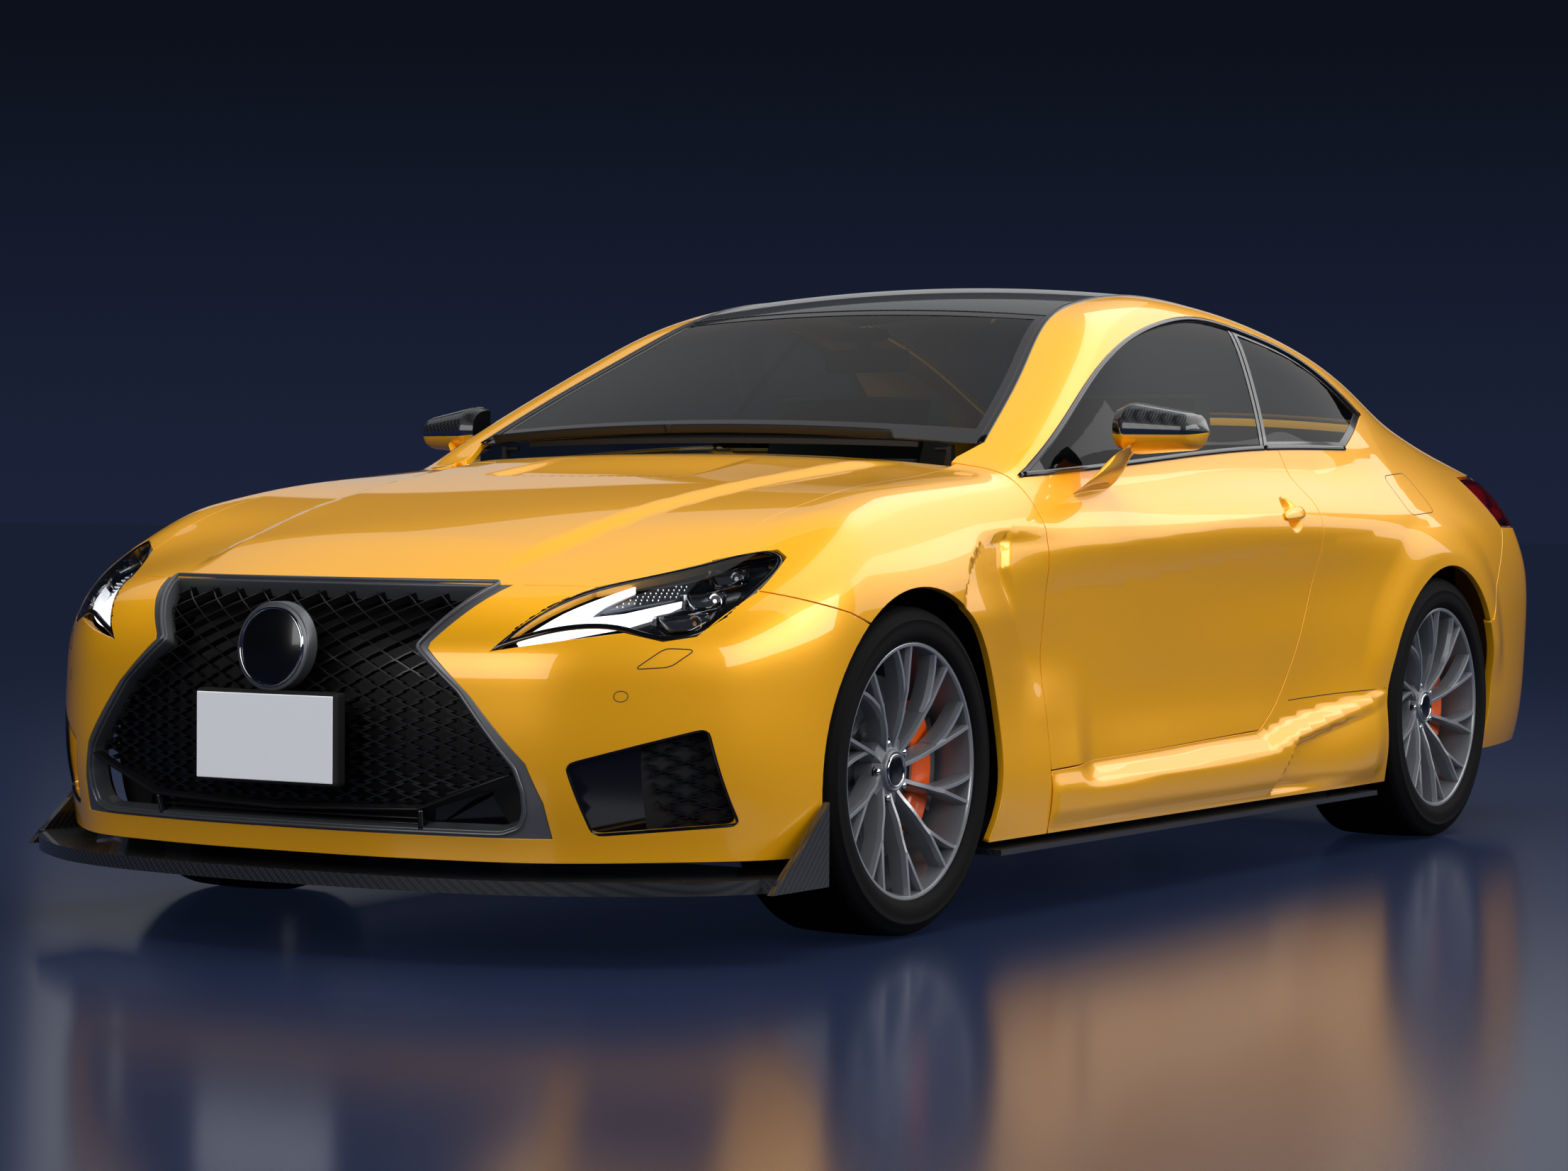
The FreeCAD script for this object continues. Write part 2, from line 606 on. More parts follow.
def make_tyre(name, end, side, x):
    """A low-profile tyre with a flat tread, square shoulders and beads on the rim."""
    body = new_body(name)
    face, width, radius = f"sizes.{end}_tyre_face", f"sizes.{end}_tyre_width", f"sizes.{end}_tyre_radius"
    sign = "" if side > 0 else "-"
    out = f"{sign}({face})"
    inn = f"{sign}({face} - {width})"
    mid = f"{sign}({face} - {width} / 2)"
    bead = "sizes.rim_lip_radius - sizes.rim_wall"
    corners = [
        (f"{radius}", mid), (f"{radius} * 0.996", f"{mid} + {sign}({width} * 0.40)"),
        (f"{radius} * 0.972", f"{out} - {sign}({width} * 0.03)"),
        (f"{radius} * 0.90", out), (f"{radius} * 0.83", f"{out} - {sign}({width} * 0.005)"),
        (f"{bead} + sizes.rim_wall + sizes.bead_gap", f"{out} - {sign}({width} * 0.04)"),
        (f"{bead} + sizes.rim_wall + sizes.bead_gap", f"{inn} + {sign}({width} * 0.04)"),
        (f"{radius} * 0.83", f"{inn} + {sign}({width} * 0.005)"), (f"{radius} * 0.90", inn),
        (f"{radius} * 0.972", f"{inn} + {sign}({width} * 0.03)"),
        (f"{radius} * 0.996", f"{mid} - {sign}({width} * 0.40)"),
    ]
    revolve(body, name + "_ring", corners)
    place_body(body, x, "0", radius)
    return keep(body)


def make_rim(name, end, side, x):
    """A forged wheel: barrel, hub, split spokes and the brake disc on its back."""
    body = new_body(name)
    sign = "" if side > 0 else "-"
    face, width = f"sizes.{end}_rim_face", f"sizes.{end}_rim_width"
    mount = f"sizes.{end}_mount_face"
    radius = f"sizes.{end}_tyre_radius"
    wall = "sizes.rim_wall"
    lip = "sizes.rim_lip_radius"
    well = "sizes.rim_well_radius"

    def at(distance):
        return f"{sign}({distance})"

    barrel = [
        (lip, at(face)), (lip, at(f"{face} - {wall}")),
        (f"{well} + {wall} * 2", at(f"{face} - {wall} * 2")), (f"{well} + {wall}", at(f"{face} - {wall} * 6")),
        (f"{well} + {wall}", at(f"{face} - {width} + {wall} * 3")),
        (lip, at(f"{face} - {width} + {wall}")), (lip, at(f"{face} - {width}")),
        (f"{well} + {wall}", at(f"{face} - {width}")), (well, at(f"{face} - {width} + {wall} * 3")),
        (well, at(f"{face} - {wall} * 6")), (f"{well} + {wall}", at(f"{face} - {wall} * 1.5")),
        (f"{lip} - {wall}", at(face)),
    ]
    revolve(body, name + "_barrel", barrel)
    bore = "sizes.hub_bore_radius"
    disc = f"sizes.{end}_disc_radius"
    back = f"{mount} - sizes.disc_setback"
    hub = [
        (bore, at(f"{mount} - sizes.rim_wall")), (bore, at(f"{mount} + sizes.spoke_depth * 0.5")),
        ("0", at(f"{mount} + sizes.spoke_depth * 0.5")), ("0", at(f"{mount} + sizes.spoke_depth * 0.7")),
        ("sizes.cap_radius", at(f"{mount} + sizes.spoke_depth * 0.65")),
        ("sizes.hub_radius", at(f"{mount} + sizes.spoke_depth * 0.5")),
        ("sizes.hub_radius", at(f"{mount} - sizes.rim_wall")), ("sizes.hub_radius * 1.15", at(f"{mount} - sizes.rim_wall")),
        ("sizes.hub_radius * 1.15", at(back)), (disc, at(back)), (disc, at(f"{back} - sizes.disc_thickness")),
        ("sizes.hub_radius * 1.05", at(f"{back} - sizes.disc_thickness")),
        ("sizes.hub_radius * 1.05", at(f"{mount} - sizes.rim_wall * 2")), (bore, at(f"{mount} - sizes.rim_wall * 2")),
    ]
    revolve(body, name + "_hub", hub)
    sketch = sketch_polygon(body, name + "_spoke_outline", "XZ_Plane", [
        ("-sizes.hub_radius * 0.26", "sizes.hub_radius * 0.9"),
        ("-sizes.hub_radius * 0.13", f"{well} + {wall} * 0.5"),
        ("sizes.hub_radius * 0.13", f"{well} + {wall} * 0.5"),
        ("sizes.hub_radius * 0.26", "sizes.hub_radius * 0.9"),
    ])
    sketch.AttachmentOffset = Placement(Vector(0, 0, 0), Rotation())
    sketch.setExpression("AttachmentOffset.Base.z", f"-({sign}({mount} + sizes.spoke_depth * 0.1))")
    spoke = body.newObject("PartDesign::Pad", name + "_spoke")
    spoke.Profile = sketch
    spoke.setExpression("Length", "sizes.spoke_depth * 0.6")
    spoke.Reversed = side > 0
    pattern = body.newObject("PartDesign::PolarPattern", name + "_spokes")
    pattern.Originals = [spoke]
    pattern.Axis = (origin_part(body, "Y_Axis"), [""])
    pattern.Angle = 360
    pattern.Occurrences = SPOKES
    body.Tip = pattern
    place_body(body, x, "0", radius)
    return keep(body)


SPOKES = 10
for side_name, side in SIDES:
    make_tyre(f"tyre_front_{side_name}", "front", side, FRONT_X)
    make_tyre(f"tyre_rear_{side_name}", "rear", side, REAR_X)
    make_rim(f"rim_front_{side_name}", "front", side, FRONT_X)
    make_rim(f"rim_rear_{side_name}", "rear", side, REAR_X)


# Structure in three welded shells that meet face to face: the floor and sills, the
# front rails and aprons, and the boot and rear wheelhouses.

def ring_liner(name, end, x, inner):
    """A wheelhouse liner: a part ring over the wheel, open below."""
    parts = []
    radius, hub = f"sizes.{end}_liner_radius", f"sizes.{end}_tyre_radius"
    for side_name, side in SIDES:
        low = inner if side > 0 else "-sizes.liner_outer"
        length = f"sizes.liner_outer - {inner}"
        outer = tube(f"{name}_outer_{side_name}", f"{radius} + sizes.liner_wall", length, (x, low, hub), ALONG_Y)
        hollow = tube(f"{name}_hollow_{side_name}", radius, length, (x, low, hub), ALONG_Y)
        below = block(f"{name}_below_{side_name}", (f"{x} - {radius} * 2", f"{x} + {radius} * 2"),
                      ("-sizes.body_width", "sizes.body_width"), (f"-{radius}", "sizes.liner_low_z"))
        parts.append(cut(f"{name}_{side_name}", cut(f"{name}_ring_{side_name}", outer, hollow), below))
    return parts


floor_pan = [
    block("floor", ("sizes.sill_rear_x + sizes.seat_gap", "sizes.firewall_x + sizes.wall"),
          ("-sizes.floor_half_width", "sizes.floor_half_width"),
          ("sizes.floor_z", "sizes.floor_z + sizes.floor_thickness")),
    block("tunnel", ("sizes.sill_rear_x + sizes.seat_gap", "sizes.firewall_x"),
          ("-sizes.tunnel_half_width", "sizes.tunnel_half_width"), ("sizes.floor_z", "sizes.tunnel_top")),
    block("firewall", ("sizes.firewall_x", "sizes.firewall_x + sizes.wall"),
          ("-sizes.post_outer", "sizes.post_outer"), ("sizes.floor_z", "sizes.firewall_top")),
]
floor_pan += block_pair("sill", ("sizes.sill_rear_x + sizes.seat_gap", "sizes.firewall_x"),
                        ("sizes.sill_inner", "sizes.sill_outer"), ("sizes.floor_z", "sizes.sill_top"))
floor_pan += block_pair("post", ("sizes.door_front_x - sizes.hinge_setback - sizes.arm_thickness * 0.75",
                                 "sizes.firewall_x"),
                        ("sizes.post_inner", "sizes.post_outer"), ("sizes.floor_z", "sizes.post_top"))

FRONT_WALL = "sizes.firewall_x + sizes.wall + sizes.seat_gap"
front_structure = [
    block("nose_beam", ("sizes.beam_x - sizes.beam_depth", "sizes.beam_x"),
          ("-sizes.beam_half_width", "sizes.beam_half_width"), ("sizes.beam_low", "sizes.beam_high")),
]
front_structure += block_pair("apron", (FRONT_WALL, "sizes.apron_front_x"),
                              ("sizes.rail_outer", "sizes.front_liner_inner"), ("sizes.rail_low", "sizes.apron_top"))
front_structure += block_pair("rail", (FRONT_WALL, "sizes.beam_x - sizes.beam_depth / 2"),
                              ("sizes.rail_outer - sizes.rail_width", "sizes.rail_outer"),
                              ("sizes.rail_low", "sizes.rail_high"))
front_structure += ring_liner("front_liner", "front", FRONT_X, "sizes.front_liner_inner")

BOOT_LOW = "sizes.boot_floor_z - sizes.wall"
rear_structure = [
    block("rear_floor", ("sizes.bulkhead_x - sizes.wall", "sizes.sill_rear_x"),
          ("-sizes.boot_half_width", "sizes.boot_half_width"),
          ("sizes.floor_z", "sizes.floor_z + sizes.floor_thickness")),
    block("rear_tunnel", ("sizes.bulkhead_x", "sizes.sill_rear_x"),
          ("-sizes.tunnel_half_width", "sizes.tunnel_half_width"), ("sizes.floor_z", "sizes.tunnel_top")),
    block("bulkhead", ("sizes.bulkhead_x - sizes.wall", "sizes.bulkhead_x"),
          ("-sizes.boot_half_width", "sizes.boot_half_width"), ("sizes.floor_z", "sizes.shelf_z")),
    block("boot_floor", ("sizes.tail_panel_x", "sizes.bulkhead_x"),
          ("-sizes.boot_half_width", "sizes.boot_half_width"), (BOOT_LOW, "sizes.boot_floor_z")),
    block("tail_panel", ("sizes.tail_panel_x - sizes.wall", "sizes.tail_panel_x"),
          ("-sizes.boot_half_width", "sizes.boot_half_width"), (BOOT_LOW, "sizes.boot_sill_z")),
]
# The parcel shelf has a slot for each arm of the trunk lid.
SHELF = ("sizes.shelf_z - sizes.wall", "sizes.shelf_z")
shelf = block("shelf_plate", ("sizes.lid_front_x", "sizes.bulkhead_x"),
              ("-sizes.boot_half_width", "sizes.boot_half_width"), SHELF)
SLOT_HALF = "(sizes.lid_arm_width / 2 + sizes.moving_clearance)"
for slot in block_pair("shelf_slot", ("sizes.lid_front_x - sizes.wall", "sizes.lid_pivot_x + sizes.lid_arm_height / 2"),
                       (f"sizes.lid_arm_y - {SLOT_HALF}", f"sizes.lid_arm_y + {SLOT_HALF}"),
                       ("sizes.shelf_z - sizes.wall * 2", "sizes.shelf_z + sizes.wall")):
    shelf = cut(f"{slot.Name}_cut", shelf, slot)
rear_structure.append(shelf)
rear_structure += block_pair("rear_rail", ("sizes.tail_panel_x", "sizes.bulkhead_x"),
                             ("sizes.rail_outer - sizes.rail_width", "sizes.rail_outer"),
                             ("sizes.boot_floor_z - sizes.rail_width", "sizes.boot_floor_z"))
rear_structure += block_pair("boot_wall", ("sizes.tail_panel_x - sizes.wall", "sizes.bulkhead_x"),
                             ("sizes.boot_half_width", "sizes.boot_half_width + sizes.wall"),
                             (BOOT_LOW, "sizes.boot_wall_top"))
rear_structure += block_pair("side_fill", ("sizes.sill_rear_x - sizes.wall", "sizes.sill_rear_x"),
                             ("sizes.boot_half_width", "sizes.sill_inner + sizes.wall"),
                             ("sizes.floor_z", "sizes.side_fill_top"))
rear_structure += block_pair("rear_cabin_wall", ("sizes.bulkhead_x - sizes.wall", "sizes.sill_rear_x"),
                             ("sizes.boot_half_width", "sizes.boot_half_width + sizes.wall"),
                             ("sizes.floor_z", "sizes.side_fill_top"))
rear_structure += ring_liner("rear_liner", "rear", REAR_X, "sizes.boot_half_width")

# Hinge pins of the doors, hood and trunk lid, on arms from the structure.
HINGE_X = "(sizes.door_front_x - sizes.hinge_setback)"
for level in ("low", "high"):
    middle = f"sizes.hinge_{level}_z"
    floor_pan += block_pair(f"door_arm_{level}", (f"{HINGE_X} - sizes.hinge_pin_radius", f"{HINGE_X} + sizes.hinge_pin_radius"),
                            ("sizes.post_outer - sizes.wall", "sizes.hinge_y"),
                            (f"{middle} - sizes.hinge_arm_height / 2", f"{middle} + sizes.hinge_arm_height / 2"))
    for side_name, sign in (("left", ""), ("right", "-")):
        floor_pan.append(tube(f"door_pin_{level}_{side_name}", "sizes.hinge_pin_radius", "sizes.hinge_pin_height",
                              (HINGE_X, f"{sign}sizes.hinge_y", f"{middle} - sizes.hinge_pin_height / 2"), Rotation()))
for lid, foot, carried in (("hood", "sizes.post_top - sizes.wall", floor_pan),
                           ("lid", "sizes.shelf_z - sizes.wall", rear_structure)):
    reach_y = f"(sizes.{lid}_arm_y + sizes.lid_arm_width * 1.5)"
    pivot_x = f"sizes.{lid}_pivot_x"
    carried += block_pair(f"{lid}_bracket", (f"{pivot_x} - sizes.lid_arm_height / 2", f"{pivot_x} + sizes.lid_arm_height / 2"),
                          (reach_y, f"{reach_y} + sizes.lid_arm_width"), (foot, f"sizes.{lid}_pivot_z"))
    for side_name, side in SIDES:
        low = f"sizes.{lid}_arm_y - sizes.lid_arm_width" if side > 0 else f"-{reach_y}"
        carried.append(tube(f"{lid}_pin_{side_name}", "sizes.lid_hinge_pin_radius",
                            f"{reach_y} - sizes.{lid}_arm_y + sizes.lid_arm_width",
                            (pivot_x, low, f"sizes.{lid}_pivot_z"), ALONG_Y))
        low = reach_y if side > 0 else f"-{reach_y} - sizes.lid_arm_width"
        carried.append(tube(f"{lid}_eye_{side_name}", "sizes.lid_arm_height / 2", "sizes.lid_arm_width",
                            (pivot_x, low, f"sizes.{lid}_pivot_z"), ALONG_Y))
floor_pan += block_pair("hood_bracket_foot", ("sizes.hood_pivot_x - sizes.lid_arm_height / 2", "sizes.firewall_x"),
                        ("sizes.hood_arm_y + sizes.lid_arm_width * 1.5", "sizes.post_outer"),
                        ("sizes.post_top - sizes.wall", "sizes.post_top"))
keep(fuse("floor_pan", floor_pan))
keep(fuse("front_structure", front_structure))
keep(fuse("rear_structure", rear_structure))

# Engine, subframes and suspension.
keep(block("engine_block", ("sizes.engine_rear_x", "sizes.engine_front_x"),
           ("-sizes.engine_half_width", "sizes.engine_half_width"),
           ("sizes.subframe_top + sizes.seat_gap", "sizes.engine_top")))
frame = [block("crossmember", (f"{FRONT_X} - sizes.subframe_half_length", f"{FRONT_X} + sizes.subframe_half_length"),
               ("-sizes.rail_outer", "sizes.rail_outer"), ("sizes.floor_z", "sizes.subframe_top"))]
frame += block_pair("subframe_tower", (f"{FRONT_X} - sizes.subframe_half_length", f"{FRONT_X} + sizes.subframe_half_length"),
                    ("sizes.rail_outer - sizes.rail_width", "sizes.rail_outer"),
                    ("sizes.floor_z", "sizes.rail_low - sizes.seat_gap"))
frame += block_pair("lower_arm", (f"{FRONT_X} - sizes.arm_width / 2", f"{FRONT_X} + sizes.arm_width / 2"),
                    ("sizes.rail_outer - sizes.rail_width", "sizes.kingpin_y + sizes.kingpin_radius"),
                    ("sizes.floor_z", "sizes.lower_ball_z - sizes.moving_clearance"))
frame += block_pair("upper_arm", (f"{FRONT_X} - sizes.arm_width / 2", f"{FRONT_X} + sizes.arm_width / 2"),
                    ("sizes.front_liner_inner + sizes.seat_gap", "sizes.kingpin_y + sizes.kingpin_radius"),
                    ("sizes.upper_ball_z + sizes.moving_clearance", "sizes.upper_ball_z + sizes.moving_clearance + sizes.arm_thickness"))
for side_name, sign in (("left", ""), ("right", "-")):
    spot = (FRONT_X, f"{sign}sizes.kingpin_y")
    frame.append(tube(f"lower_ball_{side_name}", "sizes.kingpin_radius", "sizes.arm_thickness * 2",
                      spot + ("sizes.lower_ball_z - sizes.moving_clearance - sizes.arm_thickness",), Rotation()))
    frame.append(tube(f"upper_ball_{side_name}", "sizes.kingpin_radius", "sizes.arm_thickness * 2",
                      spot + ("sizes.upper_ball_z + sizes.moving_clearance - sizes.arm_thickness",), Rotation()))
keep(fuse("front_subframe", frame))


def carrier(name, end, x, side_name, side, inner):
    """A hub carrier: upright, hub, spindle and the brake caliper round the disc."""
    radius = f"sizes.{end}_tyre_radius"
    mount = f"sizes.{end}_mount_face"
    disc_back = f"({mount} - sizes.disc_setback - sizes.disc_thickness)"
    flank = f"({disc_back} - sizes.moving_clearance)"

    def along(low, high):
        return (low, high) if side > 0 else (f"-({high})", f"-({low})")

    def turned(part, radius_text, low, high):
        low, high = along(low, high)
        return tube(f"{name}_{part}_{side_name}", radius_text, f"({high}) - ({low})", (x, low, radius), ALONG_Y)

    parts = [
        block(f"{name}_upright_{side_name}", (f"{x} - sizes.knuckle_width / 2", f"{x} + sizes.knuckle_width / 2"),
              along(inner, flank), ("sizes.lower_ball_z", "sizes.upper_ball_z")),
        turned("hub", "sizes.hub_radius * 0.8", inner, flank),
        turned("spindle", "sizes.hub_bore_radius - sizes.spindle_clearance", inner, f"{mount} + sizes.spoke_depth * 0.3"),
    ]
    disc = f"sizes.{end}_disc_radius"
    shell_part = turned("caliper_shell", f"{disc} + sizes.disc_thickness", f"{disc_back} - sizes.disc_thickness * 0.7",
                        f"{disc_back} + sizes.disc_thickness * 1.7")
    shell_part.Angle = CALIPER_ANGLE
    middle = 180 if end == "front" else 0
    shell_part.Placement = Placement(Vector(0, 0, 0), ALONG_Y * Rotation(Vector(0, 0, 1), middle - CALIPER_ANGLE / 2))
    low = along(f"{disc_back} - sizes.disc_thickness * 0.7", f"{disc_back} + sizes.disc_thickness * 1.7")[0]
    for axis, text in zip("xyz", (x, low, radius)):
        shell_part.setExpression(f"Placement.Base.{axis}", text)
    slot = turned("caliper_slot", f"{disc} + sizes.moving_clearance", flank, f"{disc_back} + sizes.disc_thickness + sizes.moving_clearance")
    core = turned("caliper_core", f"{disc} * 0.62", f"{disc_back} - sizes.disc_thickness", f"{disc_back} + sizes.disc_thickness * 2")
    opened = cut(f"{name}_caliper_opened_{side_name}", shell_part, slot)
    parts.append(cut(f"{name}_caliper_{side_name}", opened, core))
    lug_x = (f"{x} - {disc} * 0.9", x) if middle == 180 else (x, f"{x} + {disc} * 0.9")
    parts.append(block(f"{name}_lug_{side_name}", lug_x, along(f"{disc_back} - sizes.disc_thickness * 0.7", flank),
                       (f"{radius} - sizes.knuckle_width / 2", f"{radius} + sizes.knuckle_width / 2")))
    return parts


CALIPER_ANGLE = 52
for side_name, side in SIDES:
    parts = carrier("knuckle_front", "front", FRONT_X, side_name, side, "sizes.kingpin_y - sizes.knuckle_depth / 2")
    solid = fuse(f"knuckle_front_{side_name}_solid", parts)
    sign = "" if side > 0 else "-"
    bore = tube(f"knuckle_bore_{side_name}", "sizes.kingpin_radius + sizes.pin_clearance", "sizes.upper_ball_z * 2",
                (FRONT_X, f"{sign}sizes.kingpin_y", "0"), Rotation())
    keeper = block(f"knuckle_middle_{side_name}", (f"{FRONT_X} - sizes.knuckle_width / 2", f"{FRONT_X} + sizes.knuckle_width / 2"),
                   (f"{sign}sizes.kingpin_y - sizes.kingpin_radius * 1.5", f"{sign}sizes.kingpin_y + sizes.kingpin_radius * 1.5"),
                   ("sizes.lower_ball_z + sizes.arm_thickness * 1.5", "sizes.upper_ball_z - sizes.arm_thickness * 1.5"))
    bored = cut(f"knuckle_bored_{side_name}", solid, bore)
    keep(fuse(f"knuckle_front_{side_name}", [bored, keeper]))

hubs = []
for side_name, side in SIDES:
    hubs.append(fuse(f"rear_hub_{side_name}", carrier("rear_knuckle", "rear", REAR_X, side_name, side,
                                                      "sizes.rear_arm_end + sizes.seat_gap")))
keep(fuse("rear_knuckles", hubs))
arms = [
    block("rear_crossmember", (f"{REAR_X} - sizes.subframe_half_length * 2", f"{REAR_X} + sizes.subframe_half_length * 2"),
          ("-sizes.rail_outer", "sizes.rail_outer"), ("sizes.differential_low", "sizes.differential_low + sizes.arm_width")),
    block("differential", (f"{REAR_X} - sizes.subframe_half_length * 1.6", f"{REAR_X} + sizes.subframe_half_length * 1.6"),
          ("-sizes.tunnel_half_width", "sizes.tunnel_half_width"),
          ("sizes.differential_low", "sizes.boot_floor_z - sizes.wall - sizes.seat_gap")),
]
arms += block_pair("rear_tower", (f"{REAR_X} - sizes.arm_width", f"{REAR_X} + sizes.arm_width"),
                   ("sizes.rail_outer - sizes.rail_width", "sizes.rail_outer"),
                   ("sizes.differential_low", "sizes.boot_floor_z - sizes.rail_width - sizes.seat_gap"))
arms += block_pair("rear_arm", (f"{REAR_X} - sizes.arm_width / 2", f"{REAR_X} + sizes.arm_width / 2"),
                   ("sizes.rail_outer - sizes.rail_width", "sizes.rear_arm_end"),
                   ("sizes.lower_ball_z", "sizes.lower_ball_z + sizes.arm_thickness"))
for side_name, side in SIDES:
    low = "sizes.tunnel_half_width / 2" if side > 0 else "-sizes.rear_arm_end"
    arms.append(tube(f"drive_shaft_{side_name}", "sizes.kingpin_radius * 0.9",
                     "sizes.rear_arm_end - sizes.tunnel_half_width / 2", (REAR_X, low, "sizes.rear_tyre_radius"), ALONG_Y))
keep(fuse("rear_subframe", arms))


# Outer panels. Outlines are places on the car, as shares of half length, half width
# and height, in side view (x, z), front view (y, z) and plan (x, y).

def sized(points, across, along):
    return [(u * across, v * along) for u, v in points]


def side_line(points):
    return sized(points, HALF_LENGTH, HEIGHT)


def front_line(points):
    return sized(points, HALF_WIDTH, HEIGHT)


def plan_line(points):
    return sized(points, HALF_LENGTH, HALF_WIDTH)


GLASS_TOP_SHARES = [
    (0.346, 0.661), (0.229, 0.755), (0.086, 0.859), (-0.011, 0.906), (-0.108, 0.935),
    (-0.217, 0.945), (-0.301, 0.925), (-0.394, 0.886), (-0.455, 0.837), (-0.508, 0.785),
]
BELT_LINE_SHARES = [(0.346, 0.661), (0.129, 0.684), (-0.193, 0.714), (-0.396, 0.718)]
HOOD_FRONT_SHARES = [(0.879, 0.622), (0.908, 0.450), (0.923, 0.250), (0.929, 0.0)]
GLASS_SPLIT_SHARES = [(-0.193, 0.714), (-0.263, 0.928)]
DOOR_REAR_SHARES = [(-0.102, 0.237), (-0.154, 0.288), (-0.200, 0.403), (-0.229, 0.538), (-0.232, 0.650), (-0.225, 0.7165)]
HOOD_SIDE_SHARES = [(0.794, 0.755), (0.732, 0.752), (0.650, 0.757), (0.564, 0.745), (0.450, 0.738), (0.346, 0.695)]
LAMP_SHARES = [
    (0.498, 0.422), (0.622, 0.506), (0.755, 0.540), (0.854, 0.555), (0.879, 0.545),
    (0.884, 0.501), (0.829, 0.442), (0.784, 0.436), (0.722, 0.448),
]
NOSE_JOIN_SHARES = [(0.884, 0.501), (0.988, 0.470), (1.060, 0.450)]
FENDER_NOSE_SHARES = [(0.794, 0.540), (0.755, 0.555), (0.803, 0.501), (0.726, 0.470), (0.690, 0.452)]
GRILLE_SHARES = [(0.476, 0.519), (0.364, 0.432), (0.360, 0.4215), (0.465, 0.360), (0.580, 0.271), (0.608, 0.218),
                 (0.614, 0.170)]
INTAKE_SHARES = [(0.645, 0.271), (0.862, 0.319), (0.900, 0.184), (0.680, 0.172)]
TAIL_LAMP_SHARES = [(-0.797, 0.671), (-0.826, 0.573), (-1.020, 0.573), (-1.020, 0.676)]
TAIL_JOIN_SHARES = [(-0.826, 0.573), (-0.722, 0.465), (-0.690, 0.400)]
SPLITTER_SHARES = [(0.764, 0.980), (0.807, 0.978), (0.856, 0.940), (0.913, 0.800), (0.959, 0.607), (0.985, 0.330), (0.992, 0.0)]

DOOR_FRONT = S.door_front_x
WIND_LOW_X = 0.3355 * HALF_LENGTH
WIND_LOW_SAG = 0.019 * HALF_LENGTH
WIND_TOP_X = 0.0535 * HALF_LENGTH
WIND_TOP_SAG = 0.009 * HALF_LENGTH
SIDE_LOW_Z = 0.1187 * HEIGHT
SIDE_END_SHARE = -0.932
POST_FOOT_SHARE = 0.317
FOOT_FALL_SHARE = 0.1
LOW_ANGLE = angle_to(HALF_WIDTH, SIDE_LOW_Z)


def fine(first, last, spacing):
    """Evenly spaced stations, both ends included."""
    return spread(first, last, max(4, round(abs(last - first) / spacing) + 1))


# Station spacing of the fitted surfaces.
STATION_SHARE = 0.036
STATION = STATION_SHARE * HALF_LENGTH


def arch(x, radius_x, radius):
    """The round cut of a wheel arch, right across the car."""
    centre = Vector(x, -HALF_WIDTH - S.overrun * 4, radius_x)
    return Part.makeCylinder(radius, S.body_width + S.overrun * 8, centre, Vector(0, 1, 0))


front_arch = arch(FRONT_AXLE, S.front_tyre_radius, S.front_arch_radius)
rear_arch = arch(REAR_AXLE, S.rear_tyre_radius, S.rear_arch_radius)
OUTER = HALF_WIDTH + S.overrun * 4


screen_edge = Curve([(0.317, 0.722), (0.180, 0.635), (0.045, 0.540), (-0.100, 0.535), (-0.310, 0.545),
                     (-0.500, 0.575), (-0.700, 0.605), (-0.900, 0.605)], HALF_LENGTH, HALF_WIDTH)


def top_height(depth, x, y):
    return BARREL_AXIS_SHARE * HEIGHT + reach(depth, Vector(x, y, BARREL_AXIS_SHARE * HEIGHT), Vector(0, 0, 1))


def edge_angle(x):
    y = screen_edge(x) - S.overrun
    return angle_to(y, top_height(body_depth, x, y))


hood_side = Curve(HOOD_SIDE_SHARES, HALF_LENGTH, HALF_WIDTH)
front_curve = plan_line(HOOD_FRONT_SHARES)
side_curve = plan_line(HOOD_SIDE_SHARES)
rear_corner = side_curve[-1]
hood_outline = [
    ("curve", front_curve[:-1] + [(x, -y) for x, y in reversed(front_curve)]),
    ("line", [(front_curve[0][0], -front_curve[0][1]), (side_curve[0][0], -side_curve[0][1])]),
    ("curve", [(x, -y) for x, y in side_curve]),
    ("curve", [(rear_corner[0], -rear_corner[1]), (S.hood_rear_x, 0), rear_corner]),
    ("curve", side_curve[::-1]),
    ("line", [side_curve[0], front_curve[0]]),
]


def hood_angle(x):
    y = hood_side(x) - S.overrun
    return angle_to(y, top_height(lower_depth, x, y))


# Fender: from the lamp and bumper line back to the door, over the wheel arch.
fender_low = SIDE_LOW_Z
fender = slab(barrel_rays(fine(FENDER_NOSE_SHARES[2][0] * HALF_LENGTH + S.overrun / 2, DOOR_FRONT + S.door_gap / 2, STATION),
                          lambda x: angle_to(HALF_WIDTH, fender_low), hood_angle, 12),
              body_depth, 0, S.skin)
nose_side = side_line(FENDER_NOSE_SHARES)
nose_end = nose_side[-1][0]
ahead = [("line", nose_side + [(nose_end, 0), (HALF_LENGTH, 0), (HALF_LENGTH, HEIGHT), (nose_side[0][0], HEIGHT), nose_side[0]])]
fender_region = [("line", nose_side + [(nose_end - S.overrun * 4, nose_side[-1][1]), (nose_end - S.overrun * 4, HEIGHT),
                                       (nose_side[0][0], HEIGHT), nose_side[0]])]
lamp_face = front_line(LAMP_SHARES)
LAMP_REAR_X = 0.712 * HALF_LENGTH
lamp_room = front_prism([("line", lamp_face + lamp_face[:1])], LAMP_REAR_X, HALF_LENGTH, S.panel_gap / 2)
fender = fender.cut(side_prism(ahead, 0, OUTER)).cut(front_arch).cut(lamp_room)
fender = fender.cut(plan_prism(hood_outline, 0, HEIGHT, S.panel_gap / 2))
